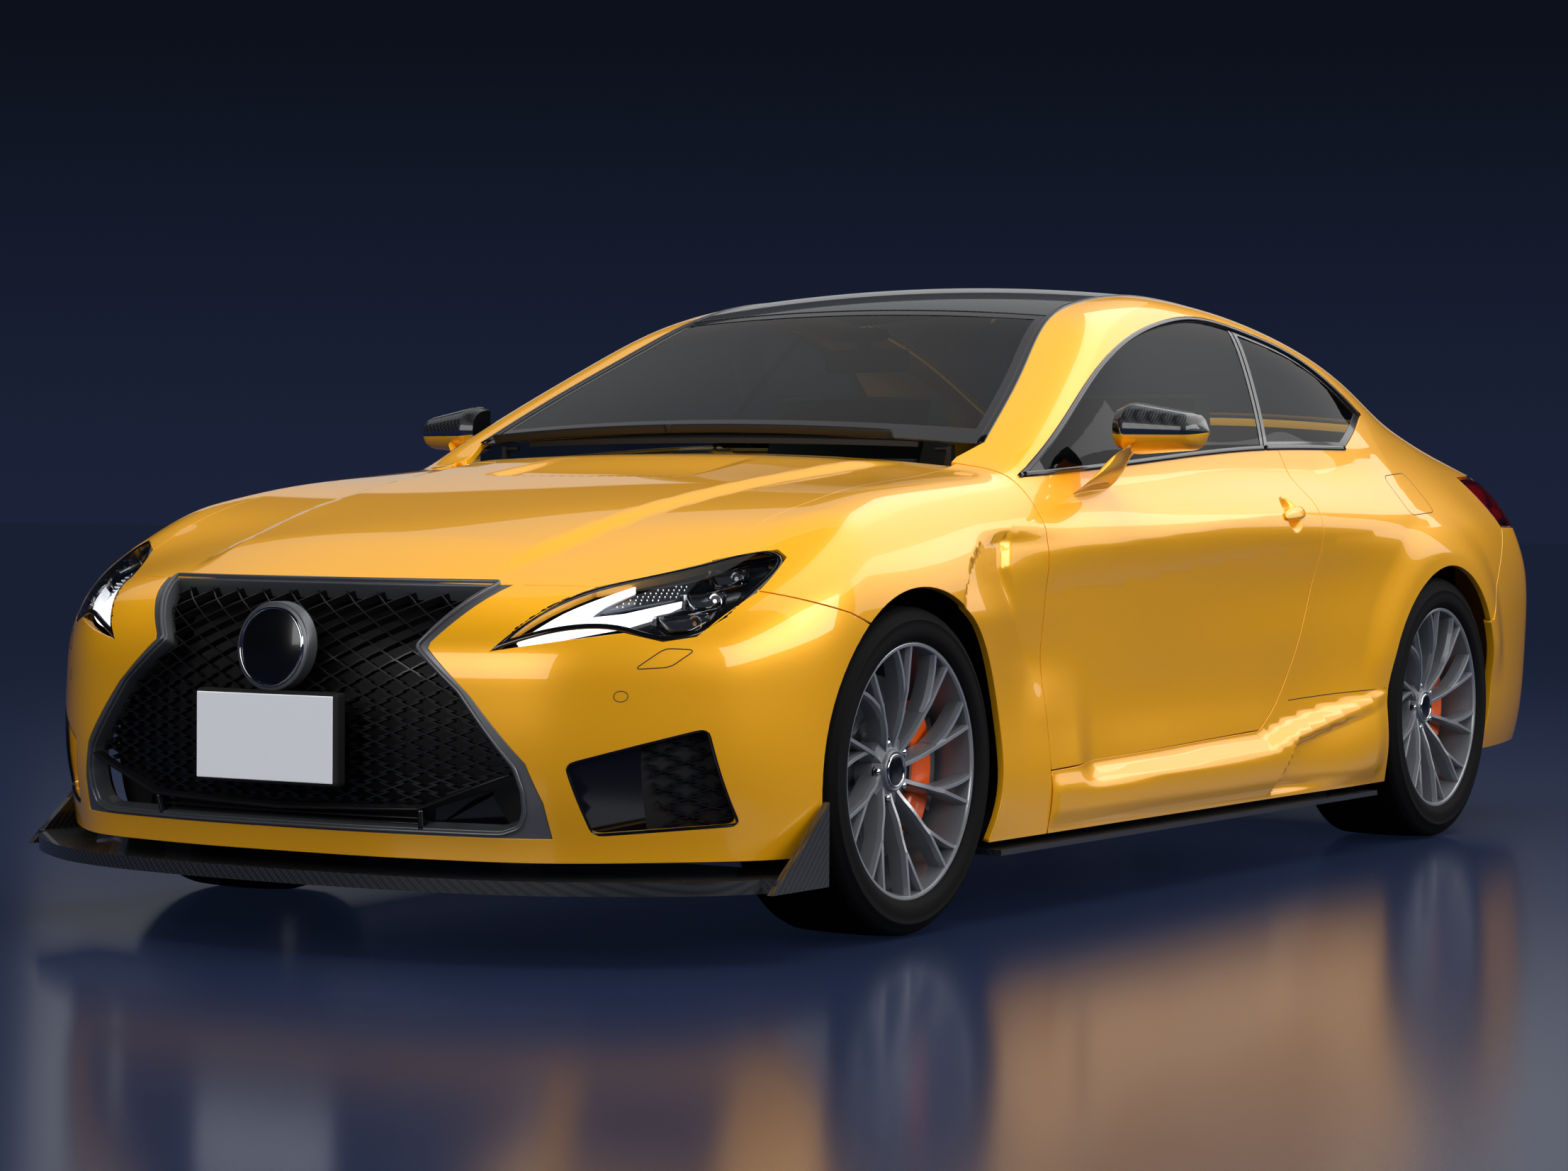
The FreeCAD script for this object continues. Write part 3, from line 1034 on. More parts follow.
brace_x = FRONT_AXLE - S.front_liner_radius * 0.6
brace_top = top_height(body_depth, brace_x, hood_side(brace_x)) - S.skin
brace = box((brace_x, brace_x + S.wall * 2), (S.rail_outer, hood_side(brace_x) + S.skin),
            (S.apron_top + S.seat_gap, S.apron_top + S.wall * 2))
upright = box((brace_x, brace_x + S.wall * 2), (hood_side(brace_x) + S.panel_gap, hood_side(brace_x) + S.skin),
              (S.apron_top + S.wall, brace_top + S.skin / 2))
fender = fender.fuse(brace).fuse(upright)
for side_name, side in SIDES:
    piece(f"front_fender_{side_name}", on_side(fender, side))

# Body side: pillars, roof rail, quarter panel and sill, one pressing round the openings.


def side_top_angle(x):
    fall = FOOT_FALL_SHARE * clamp((x - POST_FOOT_SHARE * HALF_LENGTH) / S.overrun)
    return edge_angle(max(min(x, POST_FOOT_SHARE * HALF_LENGTH), SIDE_END_SHARE * HALF_LENGTH + S.overrun)) - fall


body_side = slab(barrel_rays(fine(DOOR_FRONT - S.door_gap / 2, SIDE_END_SHARE * HALF_LENGTH, STATION),
                             lambda x: LOW_ANGLE, side_top_angle, 20), body_depth, 0, S.side_thickness)
glass_curve = Curve(GLASS_TOP_SHARES, HALF_LENGTH, HEIGHT)
belt_curve = Curve(BELT_LINE_SHARES, HALF_LENGTH, HEIGHT)
glass_ends = (GLASS_TOP_SHARES[0][0] * HALF_LENGTH, GLASS_TOP_SHARES[-1][0] * HALF_LENGTH)
glass_top = [(x, glass_curve(x)) for x in spread(*glass_ends, 14)]
split = side_line(GLASS_SPLIT_SHARES)
belt_ends = (glass_ends[0], BELT_LINE_SHARES[-1][0] * HALF_LENGTH)
belt_line = [(x, belt_curve(x)) for x in spread(*belt_ends, 9)]
windows = [("curve", glass_top), ("line", [glass_top[-1], belt_line[-1]]), ("curve", belt_line[::-1])]
door_rear = side_line(DOOR_REAR_SHARES)


def door_outline(raised):
    """The door's shut line; its top follows the belt, raised by the given height."""
    belt = [(x, belt_curve(x) + raised) for x in spread(door_rear[-1][0], belt_ends[0], 9)]
    corner = (DOOR_FRONT, belt[-1][1] - (DOOR_FRONT - belt_ends[0]) * 0.1)
    return [("line", [(DOOR_FRONT, S.door_low_z), door_rear[0]]), ("curve", door_rear[:-1] + belt[:1]),
            ("curve", belt + [corner]), ("line", [corner, (DOOR_FRONT, S.door_low_z)])]


door_shape = door_outline(0)
tail_join = side_line(TAIL_JOIN_SHARES)
bumper_zone = side_prism([("line", tail_join + [(tail_join[-1][0], 0), (-HALF_LENGTH - S.overrun, 0),
                                                (-HALF_LENGTH - S.overrun, tail_join[0][1]), tail_join[0]])], 0, OUTER)
tail_lamp_face = [("line", side_line(TAIL_LAMP_SHARES + TAIL_LAMP_SHARES[:1]))]
rail_edge = [(x, screen_edge(x) + S.seat_gap) for x in fine(WIND_LOW_X + S.overrun * 2, -HALF_LENGTH, STATION)]
middle_zone = plan_prism([("curve", rail_edge), ("line", [rail_edge[-1], (rail_edge[-1][0], 0), (rail_edge[0][0], 0), rail_edge[0]])],
                         S.sill_top, HEIGHT + S.overrun)
body_side = body_side.cut(middle_zone).cut(side_prism(windows, 0, OUTER))
body_side = body_side.cut(side_prism(door_outline(S.door_gap), 0, OUTER, S.door_gap / 2))
body_side = body_side.cut(rear_arch).cut(bumper_zone)
body_side = body_side.cut(side_prism(tail_lamp_face, 0, OUTER, S.panel_gap / 2))
foot = box((S.sill_rear_x * 0.8, S.firewall_x * 0.8), (S.sill_outer + S.seat_gap, HALF_WIDTH - S.side_thickness * 0.7),
           (SIDE_LOW_Z + S.wall, S.sill_top - S.wall))
body_side = body_side.fuse(foot)
for side_name, side in SIDES:
    piece(f"body_side_{side_name}", on_side(body_side, side))

# Front bumper: the nose skin below the hood and lamps, with grille and intake openings.
NOSE_AXIS_X = FRONT_AXLE
HOOD_NOSE_LOW_SHARE = 0.47
join = front_line(NOSE_JOIN_SHARES)
nose_heights = fine(0.137 * HEIGHT, 0.519 * HEIGHT, STATION)
bumper = slab(upright_rays(NOSE_AXIS_X, math.radians(-84), math.radians(84), 37, nose_heights, 1),
              lower_depth, 0, S.bumper_thickness)
above = [("line", [(lamp_face[1][0], HEIGHT), lamp_face[1], lamp_face[0], lamp_face[8], lamp_face[7],
                   lamp_face[6], join[0], join[1], join[2], (join[2][0], HEIGHT), (lamp_face[1][0], HEIGHT)])]
grille_half = front_line(GRILLE_SHARES)
opening = grille_half + [(-y, z) for y, z in reversed(grille_half)]
opening.append(opening[0])
grille_face = [("line", opening)]
intake = front_line(INTAKE_SHARES)
intake_face = [("line", intake + intake[:1])]


def mirrored_line(stretches):
    return [(kind, [(-u, v) for u, v in points]) for kind, points in stretches]


for cutter in (above, intake_face):
    for face in (cutter, mirrored_line(cutter)):
        bumper = bumper.cut(front_prism(face, NOSE_AXIS_X, HALF_LENGTH + S.overrun, S.panel_gap / 2))
bumper = bumper.cut(front_prism(grille_face, NOSE_AXIS_X, HALF_LENGTH + S.overrun)).cut(front_arch)
bumper = bumper.cut(side_prism(fender_region, -OUTER, OUTER, S.panel_gap / 2))
hood_room = plan_prism(hood_outline, HOOD_NOSE_LOW_SHARE * HEIGHT, HEIGHT, S.panel_gap / 2)
bumper = bumper.cut(hood_room)
tab = box((S.beam_x + S.seat_gap, S.beam_x + S.bumper_thickness * 2), (S.beam_half_width - S.bumper_thickness * 2, S.beam_half_width - S.wall),
          (S.beam_low + S.wall, S.beam_high - S.wall))
bumper = bumper.fuse(tab).fuse(mirrored(tab))
piece("front_bumper", bumper)

# Grille: a spindle-shaped surround, a mesh plate behind it and mesh in the side intakes.
nose_skin = slab(upright_rays(NOSE_AXIS_X, math.radians(-50), math.radians(50), 25, nose_heights, 1),
                 lower_depth, 0, S.bumper_thickness)
outer_face = front_prism(grille_face, NOSE_AXIS_X, HALF_LENGTH + S.overrun, -S.seat_gap)
inner_face = front_prism(grille_face, NOSE_AXIS_X, HALF_LENGTH + S.overrun, -S.surround_width)
surround = nose_skin.common(outer_face).cut(inner_face).cut(hood_room)
mesh_depth = S.bumper_thickness + S.seat_gap
mesh_skin = slab(upright_rays(NOSE_AXIS_X, math.radians(-72), math.radians(72), 31, nose_heights, 1),
                 lower_depth, mesh_depth, mesh_depth + S.mesh_thickness)
mesh = mesh_skin.common(front_prism(grille_face, NOSE_AXIS_X, HALF_LENGTH + S.overrun, S.mesh_thickness)).cut(hood_room)
intake_mesh = mesh_skin.common(front_prism(intake_face, NOSE_AXIS_X, HALF_LENGTH + S.overrun, S.mesh_thickness))
piece("grille", Part.makeCompound([surround, mesh, intake_mesh, mirrored(intake_mesh)]))

# Splitter: a flat tray under the nose with turned-up corners ahead of the wheels.
SPLITTER_LOW = 0.096 * HEIGHT
SPLITTER_HIGH = 0.115 * HEIGHT
lip = plan_line(SPLITTER_SHARES)
lip_all = lip + [(x, -y) for x, y in reversed(lip[:-1])]
tray = plan_prism([("curve", lip_all), ("line", [lip_all[-1], lip_all[0]])], SPLITTER_LOW, SPLITTER_HIGH)
wing = side_prism([("line", [(0.764 * HALF_LENGTH, SPLITTER_LOW), (0.764 * HALF_LENGTH, 0.212 * HEIGHT),
                             (0.800 * HALF_LENGTH, 0.160 * HEIGHT), (0.850 * HALF_LENGTH, SPLITTER_LOW),
                             (0.764 * HALF_LENGTH, SPLITTER_LOW)])], HALF_WIDTH - S.skin / 2, HALF_WIDTH)
wing = wing.fuse(box((0.764 * HALF_LENGTH, 0.84 * HALF_LENGTH), (0.95 * HALF_WIDTH, HALF_WIDTH - S.wall / 2), (SPLITTER_LOW, SPLITTER_HIGH)))
hanger = box((S.beam_x - S.beam_depth, S.beam_x), (S.rail_outer - S.rail_width, S.rail_outer), (SPLITTER_HIGH - S.wall / 2, S.rail_low - S.seat_gap))
splitter = tray.cut(front_arch).fuse(wing).fuse(mirrored(wing)).fuse(hanger).fuse(mirrored(hanger))
piece("front_splitter", splitter)

# Headlamps.
lamp_heights = fine(0.410 * HEIGHT, 0.565 * HEIGHT, STATION / 2)
lamp = slab(upright_rays(NOSE_AXIS_X, math.radians(22), math.radians(72), 16, lamp_heights, 1),
            lower_depth, S.panel_gap / 4, S.lamp_depth)
lamp = lamp.common(front_prism([("line", lamp_face + lamp_face[:1])], NOSE_AXIS_X, HALF_LENGTH + S.overrun, -S.panel_gap / 2))
lamp_leg = box((S.beam_x - S.beam_depth, S.beam_x), (0.61 * HALF_WIDTH, 0.66 * HALF_WIDTH),
               (S.beam_high + S.seat_gap, 0.470 * HEIGHT))
lamp = lamp.fuse(lamp_leg)
piece("headlamps", both(lamp))

# Hood: front edge over the grille, side lines along the lamps and fenders.

def hood_reach(y):
    """The forward end of the hood's surface grid at one width."""
    share = min(abs(y) / HALF_WIDTH, 0.8)
    return HALF_LENGTH * (0.940 - 0.03 * (share / 0.4) ** 2 - 0.10 * max(0, share - 0.55) / 0.2)


hood_lines = []
for part in spread(0, 1, 22):
    ys = spread(-0.80 * HALF_WIDTH, 0.80 * HALF_WIDTH, 19)
    low_x = S.hood_rear_x - S.overrun
    hood_lines.append([(low_x + (hood_reach(y) - low_x) * part, y) for y in ys])
hood = slab(rising_rays(hood_lines), lower_depth, 0, S.hood_thickness)
hood = hood.common(plan_prism(hood_outline, 0, HEIGHT, -S.panel_gap / 2))


def bent_arm(spots, middle_y):
    """A flat bar through spots in side view, round at each, with the pin's bore at the first."""
    low, high = middle_y - S.lid_arm_width / 2, middle_y + S.lid_arm_width / 2
    half = S.lid_arm_height / 2
    shape = None
    for (x0, z0), (x1, z1) in zip(spots, spots[1:]):
        along = Vector(x1 - x0, 0, z1 - z0)
        across = Vector(-along.z, 0, along.x).normalize() * half
        corners = [Vector(x0, low, z0) + across, Vector(x1, low, z1) + across,
                   Vector(x1, low, z1) - across, Vector(x0, low, z0) - across]
        bar = Part.Face(Part.makePolygon(corners + corners[:1])).extrude(Vector(0, high - low, 0))
        bar = bar.fuse(rod(Vector(x0, low, z0), Vector(x0, high, z0), half))
        shape = bar if shape is None else shape.fuse(bar)
    x, z = spots[0]
    hole = rod(Vector(x, low - half, z), Vector(x, high + half, z), S.lid_hinge_pin_radius + S.pin_clearance)
    return shape.cut(hole)


# The arms go down from the pivot, forward under the cowl and up to the hood.
arm_x = S.hood_rear_x + S.overrun
arm_top = top_height(lower_depth, arm_x, S.hood_arm_y) - S.hood_thickness / 2
arm_low = S.hood_pivot_z - S.hood_arm_drop
arm = bent_arm([(S.hood_pivot_x, S.hood_pivot_z), (S.hood_pivot_x, arm_low), (arm_x, arm_low), (arm_x, arm_top)], S.hood_arm_y)
piece("hood", hood.fuse(arm).fuse(mirrored(arm)))

# Windshield, roof, rear window: bonded panels whose side edges follow one curve.


def top_panel(front_x, rear_x, front_sag, rear_sag, depth, outer, inner, gap, count):
    """A panel between two crosswise edges that sag towards the sides."""
    lines = []
    for part in spread(0, 1, count):
        middle = front_x + (rear_x - front_x) * part
        sag = front_sag + (rear_sag - front_sag) * part
        half = screen_edge(middle - sag) - gap
        lines.append([(middle - sag * share * share, half * share) for share in spread(-1, 1, 15)])
    return slab(rising_rays(lines), depth, outer, inner)


ROOF_END_X = -0.312 * HALF_LENGTH
LID_FRONT_X = S.lid_front_x + S.panel_gap
piece("windshield", top_panel(WIND_LOW_X, WIND_TOP_X, WIND_LOW_SAG, WIND_TOP_SAG, cabin_depth,
                              S.glass_setback, S.glass_setback + S.glass_thickness, S.seat_gap, 9))
piece("roof_panel", top_panel(WIND_TOP_X - S.seat_gap, ROOF_END_X + S.seat_gap, WIND_TOP_SAG, 0, body_depth, 0,
                              S.roof_thickness, S.seat_gap, 10))
piece("rear_window", top_panel(ROOF_END_X, LID_FRONT_X + S.overrun / 3, 0, 0, body_depth, S.glass_setback,
                               S.glass_setback + S.glass_thickness, S.seat_gap, 10))

# Side glass: the door glass moves with the door, the quarter glass is bonded.
glass_skin = slab(barrel_rays(fine(0.37 * HALF_LENGTH, -0.53 * HALF_LENGTH, STATION),
                              lambda x: angle_to(HALF_WIDTH, 0.62 * HEIGHT), lambda x: math.radians(62), 14),
                  body_depth, S.glass_setback, S.glass_setback + S.glass_thickness)
behind = [("line", [split[0], split[1], (split[1][0] - S.overrun, HEIGHT), (-HALF_LENGTH, HEIGHT), (-HALF_LENGTH, 0),
                    (split[0][0], 0), split[0]])]
quarter = glass_skin.common(side_prism(windows, 0, OUTER, -S.seat_gap)).common(side_prism(behind, 0, OUTER, -S.panel_gap / 2))
piece("quarter_glass", both(quarter))
glass_drop = S.panel_gap + S.door_gap / 2 - S.seat_gap
glass_front = 0.320 * HALF_LENGTH
glass_rear = split[1][0] - S.overrun
low_belt = [(x, belt_curve(x) - glass_drop) for x in spread(glass_rear, glass_front, 9)]
high_edge = [(x, glass_curve(x)) for x in spread(glass_front, glass_rear, 14)]
glass_outline = [("curve", high_edge), ("line", [high_edge[-1], low_belt[0]]), ("curve", low_belt),
                 ("line", [low_belt[-1], high_edge[0]])]
door_glass = glass_skin.common(side_prism(glass_outline, 0, OUTER, -S.panel_gap))
door_glass = door_glass.cut(side_prism(behind, 0, OUTER, S.panel_gap / 2))
door_glass = door_glass.cut(side_prism(door_shape, 0, OUTER, S.seat_gap - S.door_gap / 2))

# Doors: outer skin over the full outline, an inner box set in from it, hinge pockets.
door_rays = barrel_rays(fine(DOOR_FRONT + S.overrun / 2, -0.25 * HALF_LENGTH, STATION),
                        lambda x: angle_to(HALF_WIDTH, 0.2 * HEIGHT), lambda x: angle_to(0.80 * HALF_WIDTH, 0.76 * HEIGHT), 14)
door_outer = slab(door_rays, body_depth, 0, S.door_skin).common(side_prism(door_shape, 0, OUTER, -S.door_gap / 2))
door_inner = slab(door_rays, body_depth, S.door_skin / 2, S.door_thickness)
door_inner = door_inner.common(side_prism(door_shape, 0, OUTER, -S.door_inset))
door = door_outer.fuse(door_inner)
hinge_x = DOOR_FRONT - S.hinge_setback
for height in (S.hinge_low_z, S.hinge_high_z):
    pocket = box((hinge_x - S.overrun / 2, DOOR_FRONT + S.overrun), (S.post_inner, S.hinge_y + S.hinge_pin_radius + S.pin_clearance),
                 (height - S.hinge_pocket_height / 2, height + S.hinge_pocket_height / 2))
    hole = rod(Vector(hinge_x, S.hinge_y, height - S.hinge_pin_height / 2 - S.pin_clearance),
               Vector(hinge_x, S.hinge_y, height + S.hinge_pin_height / 2 + S.pin_clearance), S.hinge_pin_radius + S.pin_clearance)
    door = door.cut(pocket).cut(hole)
for side_name, side in SIDES:
    piece(f"door_{side_name}", on_side(door, side))
    piece(f"door_glass_{side_name}", on_side(door_glass, side))

# Trunk lid: deck, ducktail lip and the tail face between the lamps.
DECK_AXIS = Vector(S.lid_front_x + S.overrun / 4, 0, BARREL_AXIS_SHARE * HEIGHT)
lid_rays = []
for a in spread(math.radians(89), math.radians(164), 18):
    way = Vector(math.cos(a), 0, math.sin(a))
    lid_rays.append([(DECK_AXIS + Vector(0, y, 0), way) for y in spread(-S.lid_half_width - S.overrun / 2, S.lid_half_width + S.overrun / 2, 13)])
lid = slab(lid_rays, body_depth, 0, S.lid_thickness)
lid_low = box((-HALF_LENGTH - S.overrun, S.lid_front_x), (-S.lid_half_width + S.panel_gap, S.lid_half_width - S.panel_gap), (S.lid_low_z, HEIGHT))
lid = lid.common(lid_low)
# The arms reach down through the shelf's slots and up round the opening's edge to the lid.
LID_ARM_SHARES = [(0, 0), (-0.717, -1.022), (-1.222, -0.750), (-1.389, 0)]
lid_arm = [(S.lid_pivot_x + u * S.lid_pivot_reach, S.lid_pivot_z + v * S.lid_pivot_reach) for u, v in LID_ARM_SHARES]
lid_arm.append((lid_arm[-1][0], top_height(body_depth, lid_arm[-1][0], S.lid_arm_y) - S.lid_thickness / 2))
arm = bent_arm(lid_arm, S.lid_arm_y)
piece("trunk_lid", lid.fuse(arm).fuse(mirrored(arm)))

# Tail: lamps round the corner and the rear bumper with room for the pipes.
TIP_SHARES = [(0.44, 0.215), (0.56, 0.215)]
TIP_START_SHARE = -0.80
tail_heights = fine(0.151 * HEIGHT, 0.585 * HEIGHT, STATION)
tail_skin = slab(upright_rays(REAR_AXLE, math.radians(-76), math.radians(76), 33, tail_heights, -1), lower_depth, 0, S.bumper_thickness)
tail_cut = side_prism([("line", tail_join + [(tail_join[-1][0], 0), (-HALF_LENGTH - S.overrun * 2, 0),
                                             (-HALF_LENGTH - S.overrun * 2, tail_join[0][1]), tail_join[0]])],
                      -OUTER, OUTER, -S.panel_gap / 2)
rear_bumper = tail_skin.common(tail_cut).cut(rear_arch)
lid_gap = box((-HALF_LENGTH - S.overrun, S.lid_front_x), (-S.lid_half_width - S.panel_gap / 2, S.lid_half_width + S.panel_gap / 2),
              (S.lid_low_z - S.panel_gap, HEIGHT))
rear_bumper = rear_bumper.cut(lid_gap)
pipe_spots = [Vector(TIP_START_SHARE * HALF_LENGTH, y * HALF_WIDTH, z * HEIGHT) for y, z in TIP_SHARES]
for spot in pipe_spots:
    hole = rod(spot, spot - Vector(HALF_LENGTH, 0, 0), S.tip_radius + S.panel_gap)
    rear_bumper = rear_bumper.cut(hole).cut(mirrored(hole))
tab = box((-HALF_LENGTH + S.bumper_thickness / 2, S.tail_panel_x - S.wall - S.seat_gap), (0.22 * HALF_WIDTH, 0.32 * HALF_WIDTH), (0.40 * HEIGHT, 0.44 * HEIGHT))
piece("rear_bumper", rear_bumper.fuse(tab).fuse(mirrored(tab)))
lamp_heights = fine(0.560 * HEIGHT, 0.690 * HEIGHT, STATION / 2)
tail_lamp = slab(upright_rays(REAR_AXLE, math.radians(22), math.radians(56), 14, lamp_heights, -1), lower_depth, S.panel_gap / 4, S.lamp_depth)
tail_lamp = tail_lamp.common(side_prism(tail_lamp_face, S.lid_half_width + S.panel_gap / 2, OUTER, -S.panel_gap / 2))
tail_foot = box((S.tail_panel_x + S.wall, S.tail_panel_x + S.overrun), (S.boot_half_width, 0.75 * HALF_WIDTH),
                (S.boot_wall_top + S.seat_gap, 0.60 * HEIGHT))
piece("tail_lamps", both(tail_lamp.fuse(tail_foot)))

# Door mirrors: a stalk on the door's shoulder and a wedge-shaped shell.
def section_face(x, points):
    corners = [Vector(x * HALF_LENGTH, y * HALF_WIDTH, z * HEIGHT) for y, z in points]
    return Part.makePolygon(corners + corners[:1])


shell_sections = [
    section_face(0.240, [(0.965, 0.738), (1.060, 0.748), (1.068, 0.756), (0.965, 0.752)]),
    section_face(0.215, [(0.945, 0.700), (1.110, 0.727), (1.126, 0.754), (0.945, 0.768)]),
    section_face(0.166, [(0.935, 0.688), (1.130, 0.716), (1.143, 0.750), (0.935, 0.777)]),
]
mirror_shell = Part.makeLoft(shell_sections, True, True)
stalk_sections = []
for y, low_x, high_x, low_z, high_z in ((0.880, 0.210, 0.262, 0.625, 0.655), (0.985, 0.176, 0.214, 0.700, 0.740)):
    corners = [Vector(x * HALF_LENGTH, y * HALF_WIDTH, z * HEIGHT)
               for x, z in ((high_x, low_z), (high_x, high_z), (low_x, high_z), (low_x, low_z))]
    stalk_sections.append(Part.makePolygon(corners + corners[:1]))
stalk = Part.makeLoft(stalk_sections, True, True)
shoulder = slab(barrel_rays(fine(0.15 * HALF_LENGTH, 0.32 * HALF_LENGTH, STATION), lambda x: angle_to(HALF_WIDTH, 0.55 * HEIGHT),
                            lambda x: angle_to(0.8 * HALF_WIDTH, 0.76 * HEIGHT), 10), body_depth, -S.seat_gap, S.overrun * 2)
mirror = mirror_shell.fuse(stalk).cut(shoulder)
for side_name, side in SIDES:
    piece(f"mirror_{side_name}", on_side(mirror, side))

# Cowl: the scuttle under the windshield's lower edge and the tray behind the hood.
scuttle_lines = []
for part in spread(0, 1, 4):
    middle = WIND_LOW_X + S.wall - (S.overrun + S.wall) * part
    scuttle_lines.append([(middle - WIND_LOW_SAG * share * share, S.hood_arm_y * 0.91 * share) for share in spread(-1, 1, 11)])
scuttle_top = S.glass_setback + S.glass_thickness + S.seat_gap
scuttle = slab(rising_rays(scuttle_lines), cabin_depth, scuttle_top, scuttle_top + S.wall)
tray_wall = box((WIND_LOW_X - S.overrun / 2, WIND_LOW_X - S.overrun / 4), (-S.hood_arm_y * 0.91, S.hood_arm_y * 0.91),
                (S.firewall_top + S.seat_gap, 0.689 * HEIGHT))
tray_floor = box((WIND_LOW_X - S.overrun / 2, S.firewall_x + S.wall), (-S.hood_arm_y * 0.91, S.hood_arm_y * 0.91),
                 (S.firewall_top + S.seat_gap, S.firewall_top + S.wall))
piece("cowl", scuttle.fuse(tray_wall).fuse(tray_floor))

# Side skirt blades, rear diffuser, exhaust tips and the blank plate.
blade = box((S.sill_rear_x, FRONT_AXLE - S.front_arch_radius * 0.9), (S.sill_outer - S.overrun, 0.992 * HALF_WIDTH),
            (S.floor_z - S.wall, S.floor_z - S.seat_gap))
piece("side_skirts", both(blade.cut(front_arch).cut(rear_arch)))
DIFFUSER_LOW = 0.112 * HEIGHT
diffuser = box((-0.985 * HALF_LENGTH, -0.80 * HALF_LENGTH), (-0.62 * HALF_WIDTH, 0.62 * HALF_WIDTH), (DIFFUSER_LOW, DIFFUSER_LOW + S.wall))
for share in (-0.36, -0.18, 0, 0.18, 0.36):
    y = share * HALF_WIDTH
    diffuser = diffuser.fuse(box((-0.975 * HALF_LENGTH, -0.82 * HALF_LENGTH), (y - S.wall / 4, y + S.wall / 4), (DIFFUSER_LOW, 0.147 * HEIGHT)))
stay = box((-0.90 * HALF_LENGTH, -0.88 * HALF_LENGTH), (0.22 * HALF_WIDTH, 0.26 * HALF_WIDTH),
           (DIFFUSER_LOW, S.boot_floor_z - S.wall - S.seat_gap))
piece("rear_diffuser", diffuser.fuse(stay).fuse(mirrored(stay)))
exhaust = box((-0.82 * HALF_LENGTH, -0.79 * HALF_LENGTH), (0.36 * HALF_WIDTH, 0.62 * HALF_WIDTH),
              (0.18 * HEIGHT, S.boot_floor_z - S.rail_width - S.seat_gap))
for spot in pipe_spots:
    tip_end = Vector(-0.998 * HALF_LENGTH, spot.y, spot.z)
    tip = rod(spot, tip_end, S.tip_radius)
    exhaust = exhaust.fuse(tip.cut(rod(spot + (tip_end - spot) * 0.3, tip_end - Vector(S.overrun, 0, 0), S.tip_radius - S.tip_wall)))
piece("exhaust", both(exhaust))

# Cabin: dashboard, steering wheel, front buckets and rear bench.


def side_pad(name, corners, width, middle):
    """A profile in side view, padded to a width about a middle plane."""
    body = new_body(name)
    sketch = sketch_polygon(body, name + "_profile", "XZ_Plane", corners)
    pad = body.newObject("PartDesign::Pad", name + "_pad")
    pad.Profile = sketch
    pad.setExpression("Length", width)
    pad.Midplane = True
    place_body(body, "0", middle, "0")
    return body


def placed(points):
    """Corners given as shares of half length and height, as expressions; 0 is the floor's top."""
    floor_top = "sizes.floor_z + sizes.floor_thickness + sizes.seat_gap"
    return [(f"sizes.half_length * {u}", f"sizes.overall_height * {v}" if v else floor_top) for u, v in points]


DASHBOARD_SHARES = [
    (0.3070, 0.4029), (0.3070, 0.6511), (0.2600, 0.6655), (0.2038, 0.6511), (0.1868, 0.5863),
    (0.1868, 0.4748), (0.2123, 0.4029),
]
FRONT_SEAT_SHARES = [
    (0.1104, 0), (0.1274, 0.2878), (0.0849, 0.3094), (-0.0764, 0.2770), (-0.1359, 0.5468), (-0.1826, 0.7266),
    (-0.1996, 0.8058), (-0.2293, 0.8129), (-0.2378, 0.7338), (-0.1868, 0.5036), (-0.1401, 0.2374), (-0.1274, 0),
]
REAR_SEAT_SHARES = [
    (-0.2718, 0), (-0.2718, 0.3022), (-0.3355, 0.2806), (-0.3822, 0.5899), (-0.3949, 0.6475),
    (-0.4244, 0.6475), (-0.4244, 0),
]
keep(side_pad("dashboard", placed(DASHBOARD_SHARES), "sizes.post_inner * 2 - sizes.seat_gap * 2", "0"))
seats = []
for side_name, side in SIDES:
    middle = "sizes.seat_y" if side > 0 else "-sizes.seat_y"
    seats.append(side_pad(f"front_seat_{side_name}", placed(FRONT_SEAT_SHARES), "sizes.seat_width", middle))
keep(fuse("front_seats", seats))
bench = side_pad("bench", placed(REAR_SEAT_SHARES), "sizes.boot_half_width * 2 - sizes.wall * 2", "0")
notch = block("bench_notch", ("sizes.bulkhead_x", "sizes.rear_seat_front_x + sizes.overrun"),
              ("-sizes.tunnel_half_width - sizes.seat_gap", "sizes.tunnel_half_width + sizes.seat_gap"),
              ("sizes.floor_z", "sizes.tunnel_top + sizes.seat_gap"))
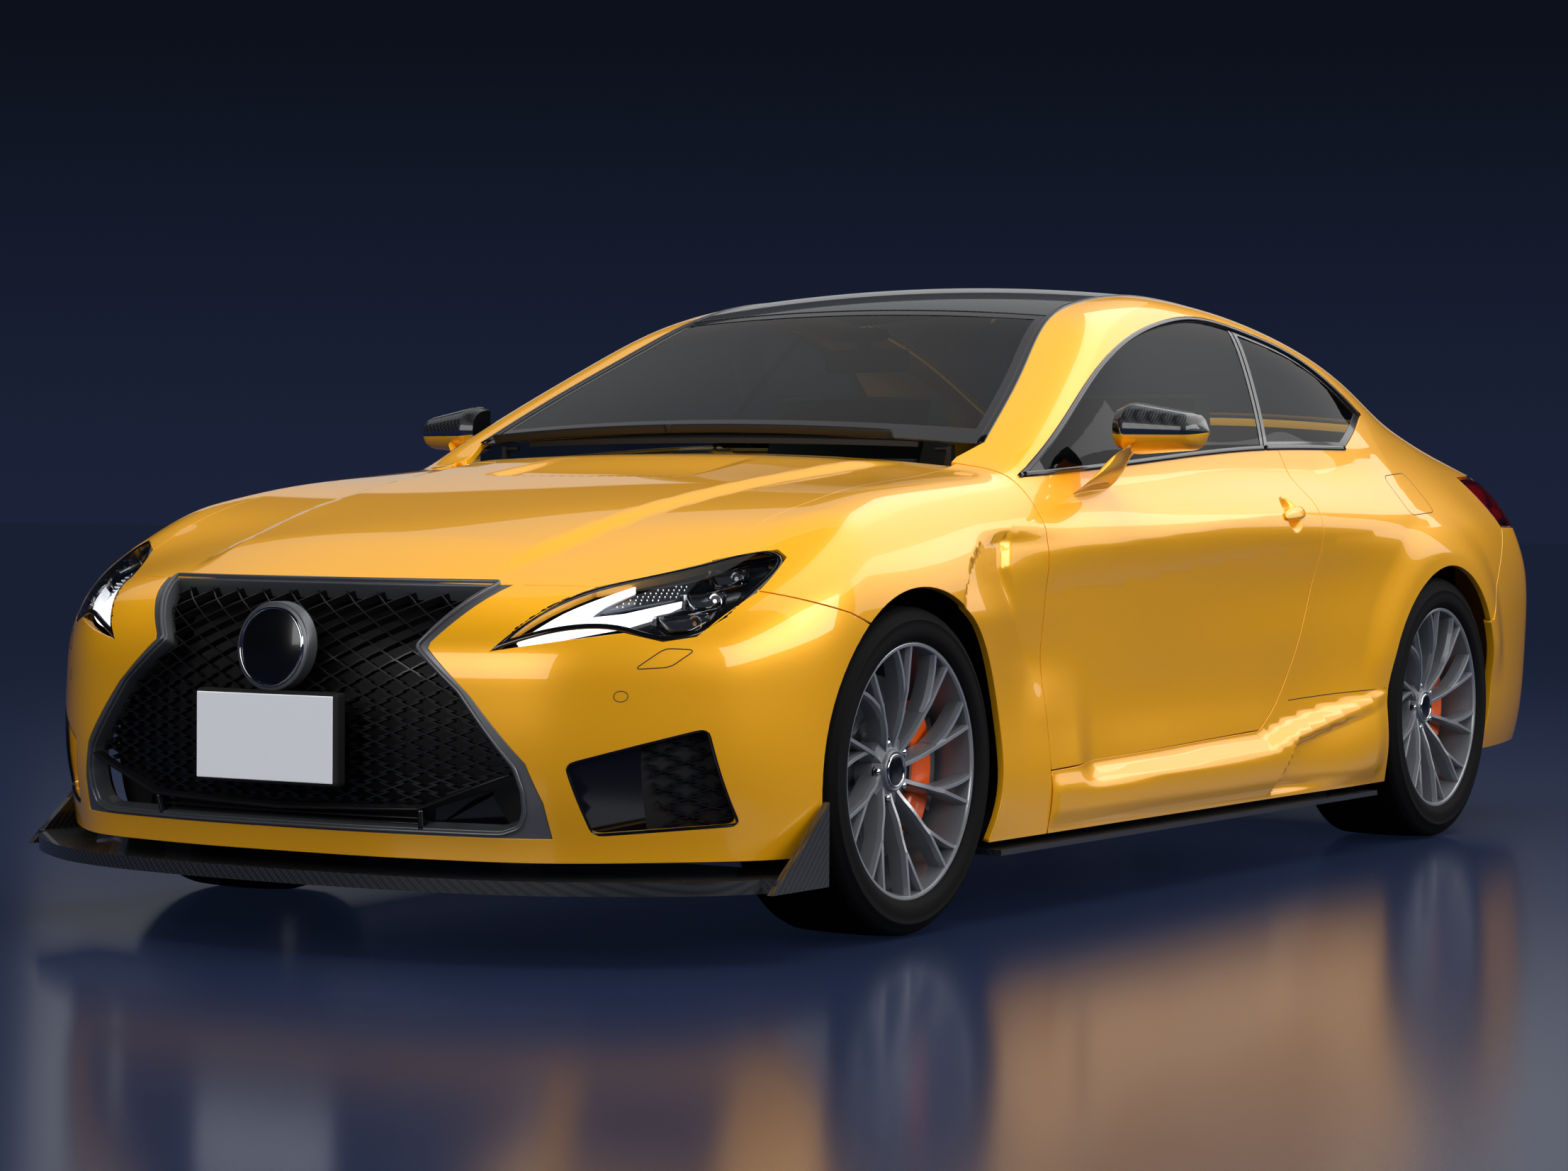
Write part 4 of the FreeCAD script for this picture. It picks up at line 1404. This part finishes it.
keep(cut("rear_seat", bench, notch))
wheel_centre = ("sizes.dash_rear_x - sizes.steering_wheel_radius / 2", "-sizes.seat_y", "sizes.steering_wheel_z")
tilt = Rotation(Vector(0, 1, 0), 68)
rim = doc.addObject("Part::Torus", "steering_rim")
rim.setExpression("Radius1", "sizes.steering_wheel_radius")
rim.setExpression("Radius2", "sizes.steering_wheel_radius * 0.08")
rim.Placement = Placement(Vector(0, 0, 0), tilt)
for axis, text in zip("xyz", wheel_centre):
    rim.setExpression(f"Placement.Base.{axis}", text)
hub = tube("steering_hub", "sizes.steering_wheel_radius * 0.3", "sizes.steering_wheel_radius * 0.3", wheel_centre, tilt)
spoke = doc.addObject("Part::Box", "steering_spoke")
spoke.setExpression("Length", "sizes.steering_wheel_radius * 0.2")
spoke.setExpression("Width", "sizes.steering_wheel_radius * 2")
spoke.setExpression("Height", "sizes.steering_wheel_radius * 0.06")
spoke.Placement = Placement(Vector(0, 0, 0), tilt)
spoke.setExpression("Placement.Base.x", wheel_centre[0])
spoke.setExpression("Placement.Base.y", "-sizes.seat_y - sizes.steering_wheel_radius")
spoke.setExpression("Placement.Base.z", wheel_centre[2])
column = block("steering_column", ("sizes.dash_rear_x - sizes.steering_wheel_radius * 0.38", "sizes.dash_rear_x - sizes.seat_gap"),
               ("-sizes.seat_y - sizes.steering_wheel_radius * 0.19", "-sizes.seat_y + sizes.steering_wheel_radius * 0.19"),
               ("sizes.steering_wheel_z - sizes.steering_wheel_radius * 0.08", "sizes.steering_wheel_z + sizes.steering_wheel_radius * 0.3"))
keep(fuse("steering_wheel", [rim, hub, spoke, column]))

doc.recompute()
for made in doc.Objects:
    if "Invalid" in made.State or "Error" in made.State:
        raise RuntimeError(f"{made.Name} is {made.State}")
for made in subparts:
    if made.Shape.isNull() or not made.Shape.isValid() or not made.Shape.Solids:
        raise RuntimeError(f"{made.Label} has no sound shape")
for made in subparts:
    made.Shape.exportStep(f"parts/{made.Label}.step")
print(len(subparts), "pieces written")
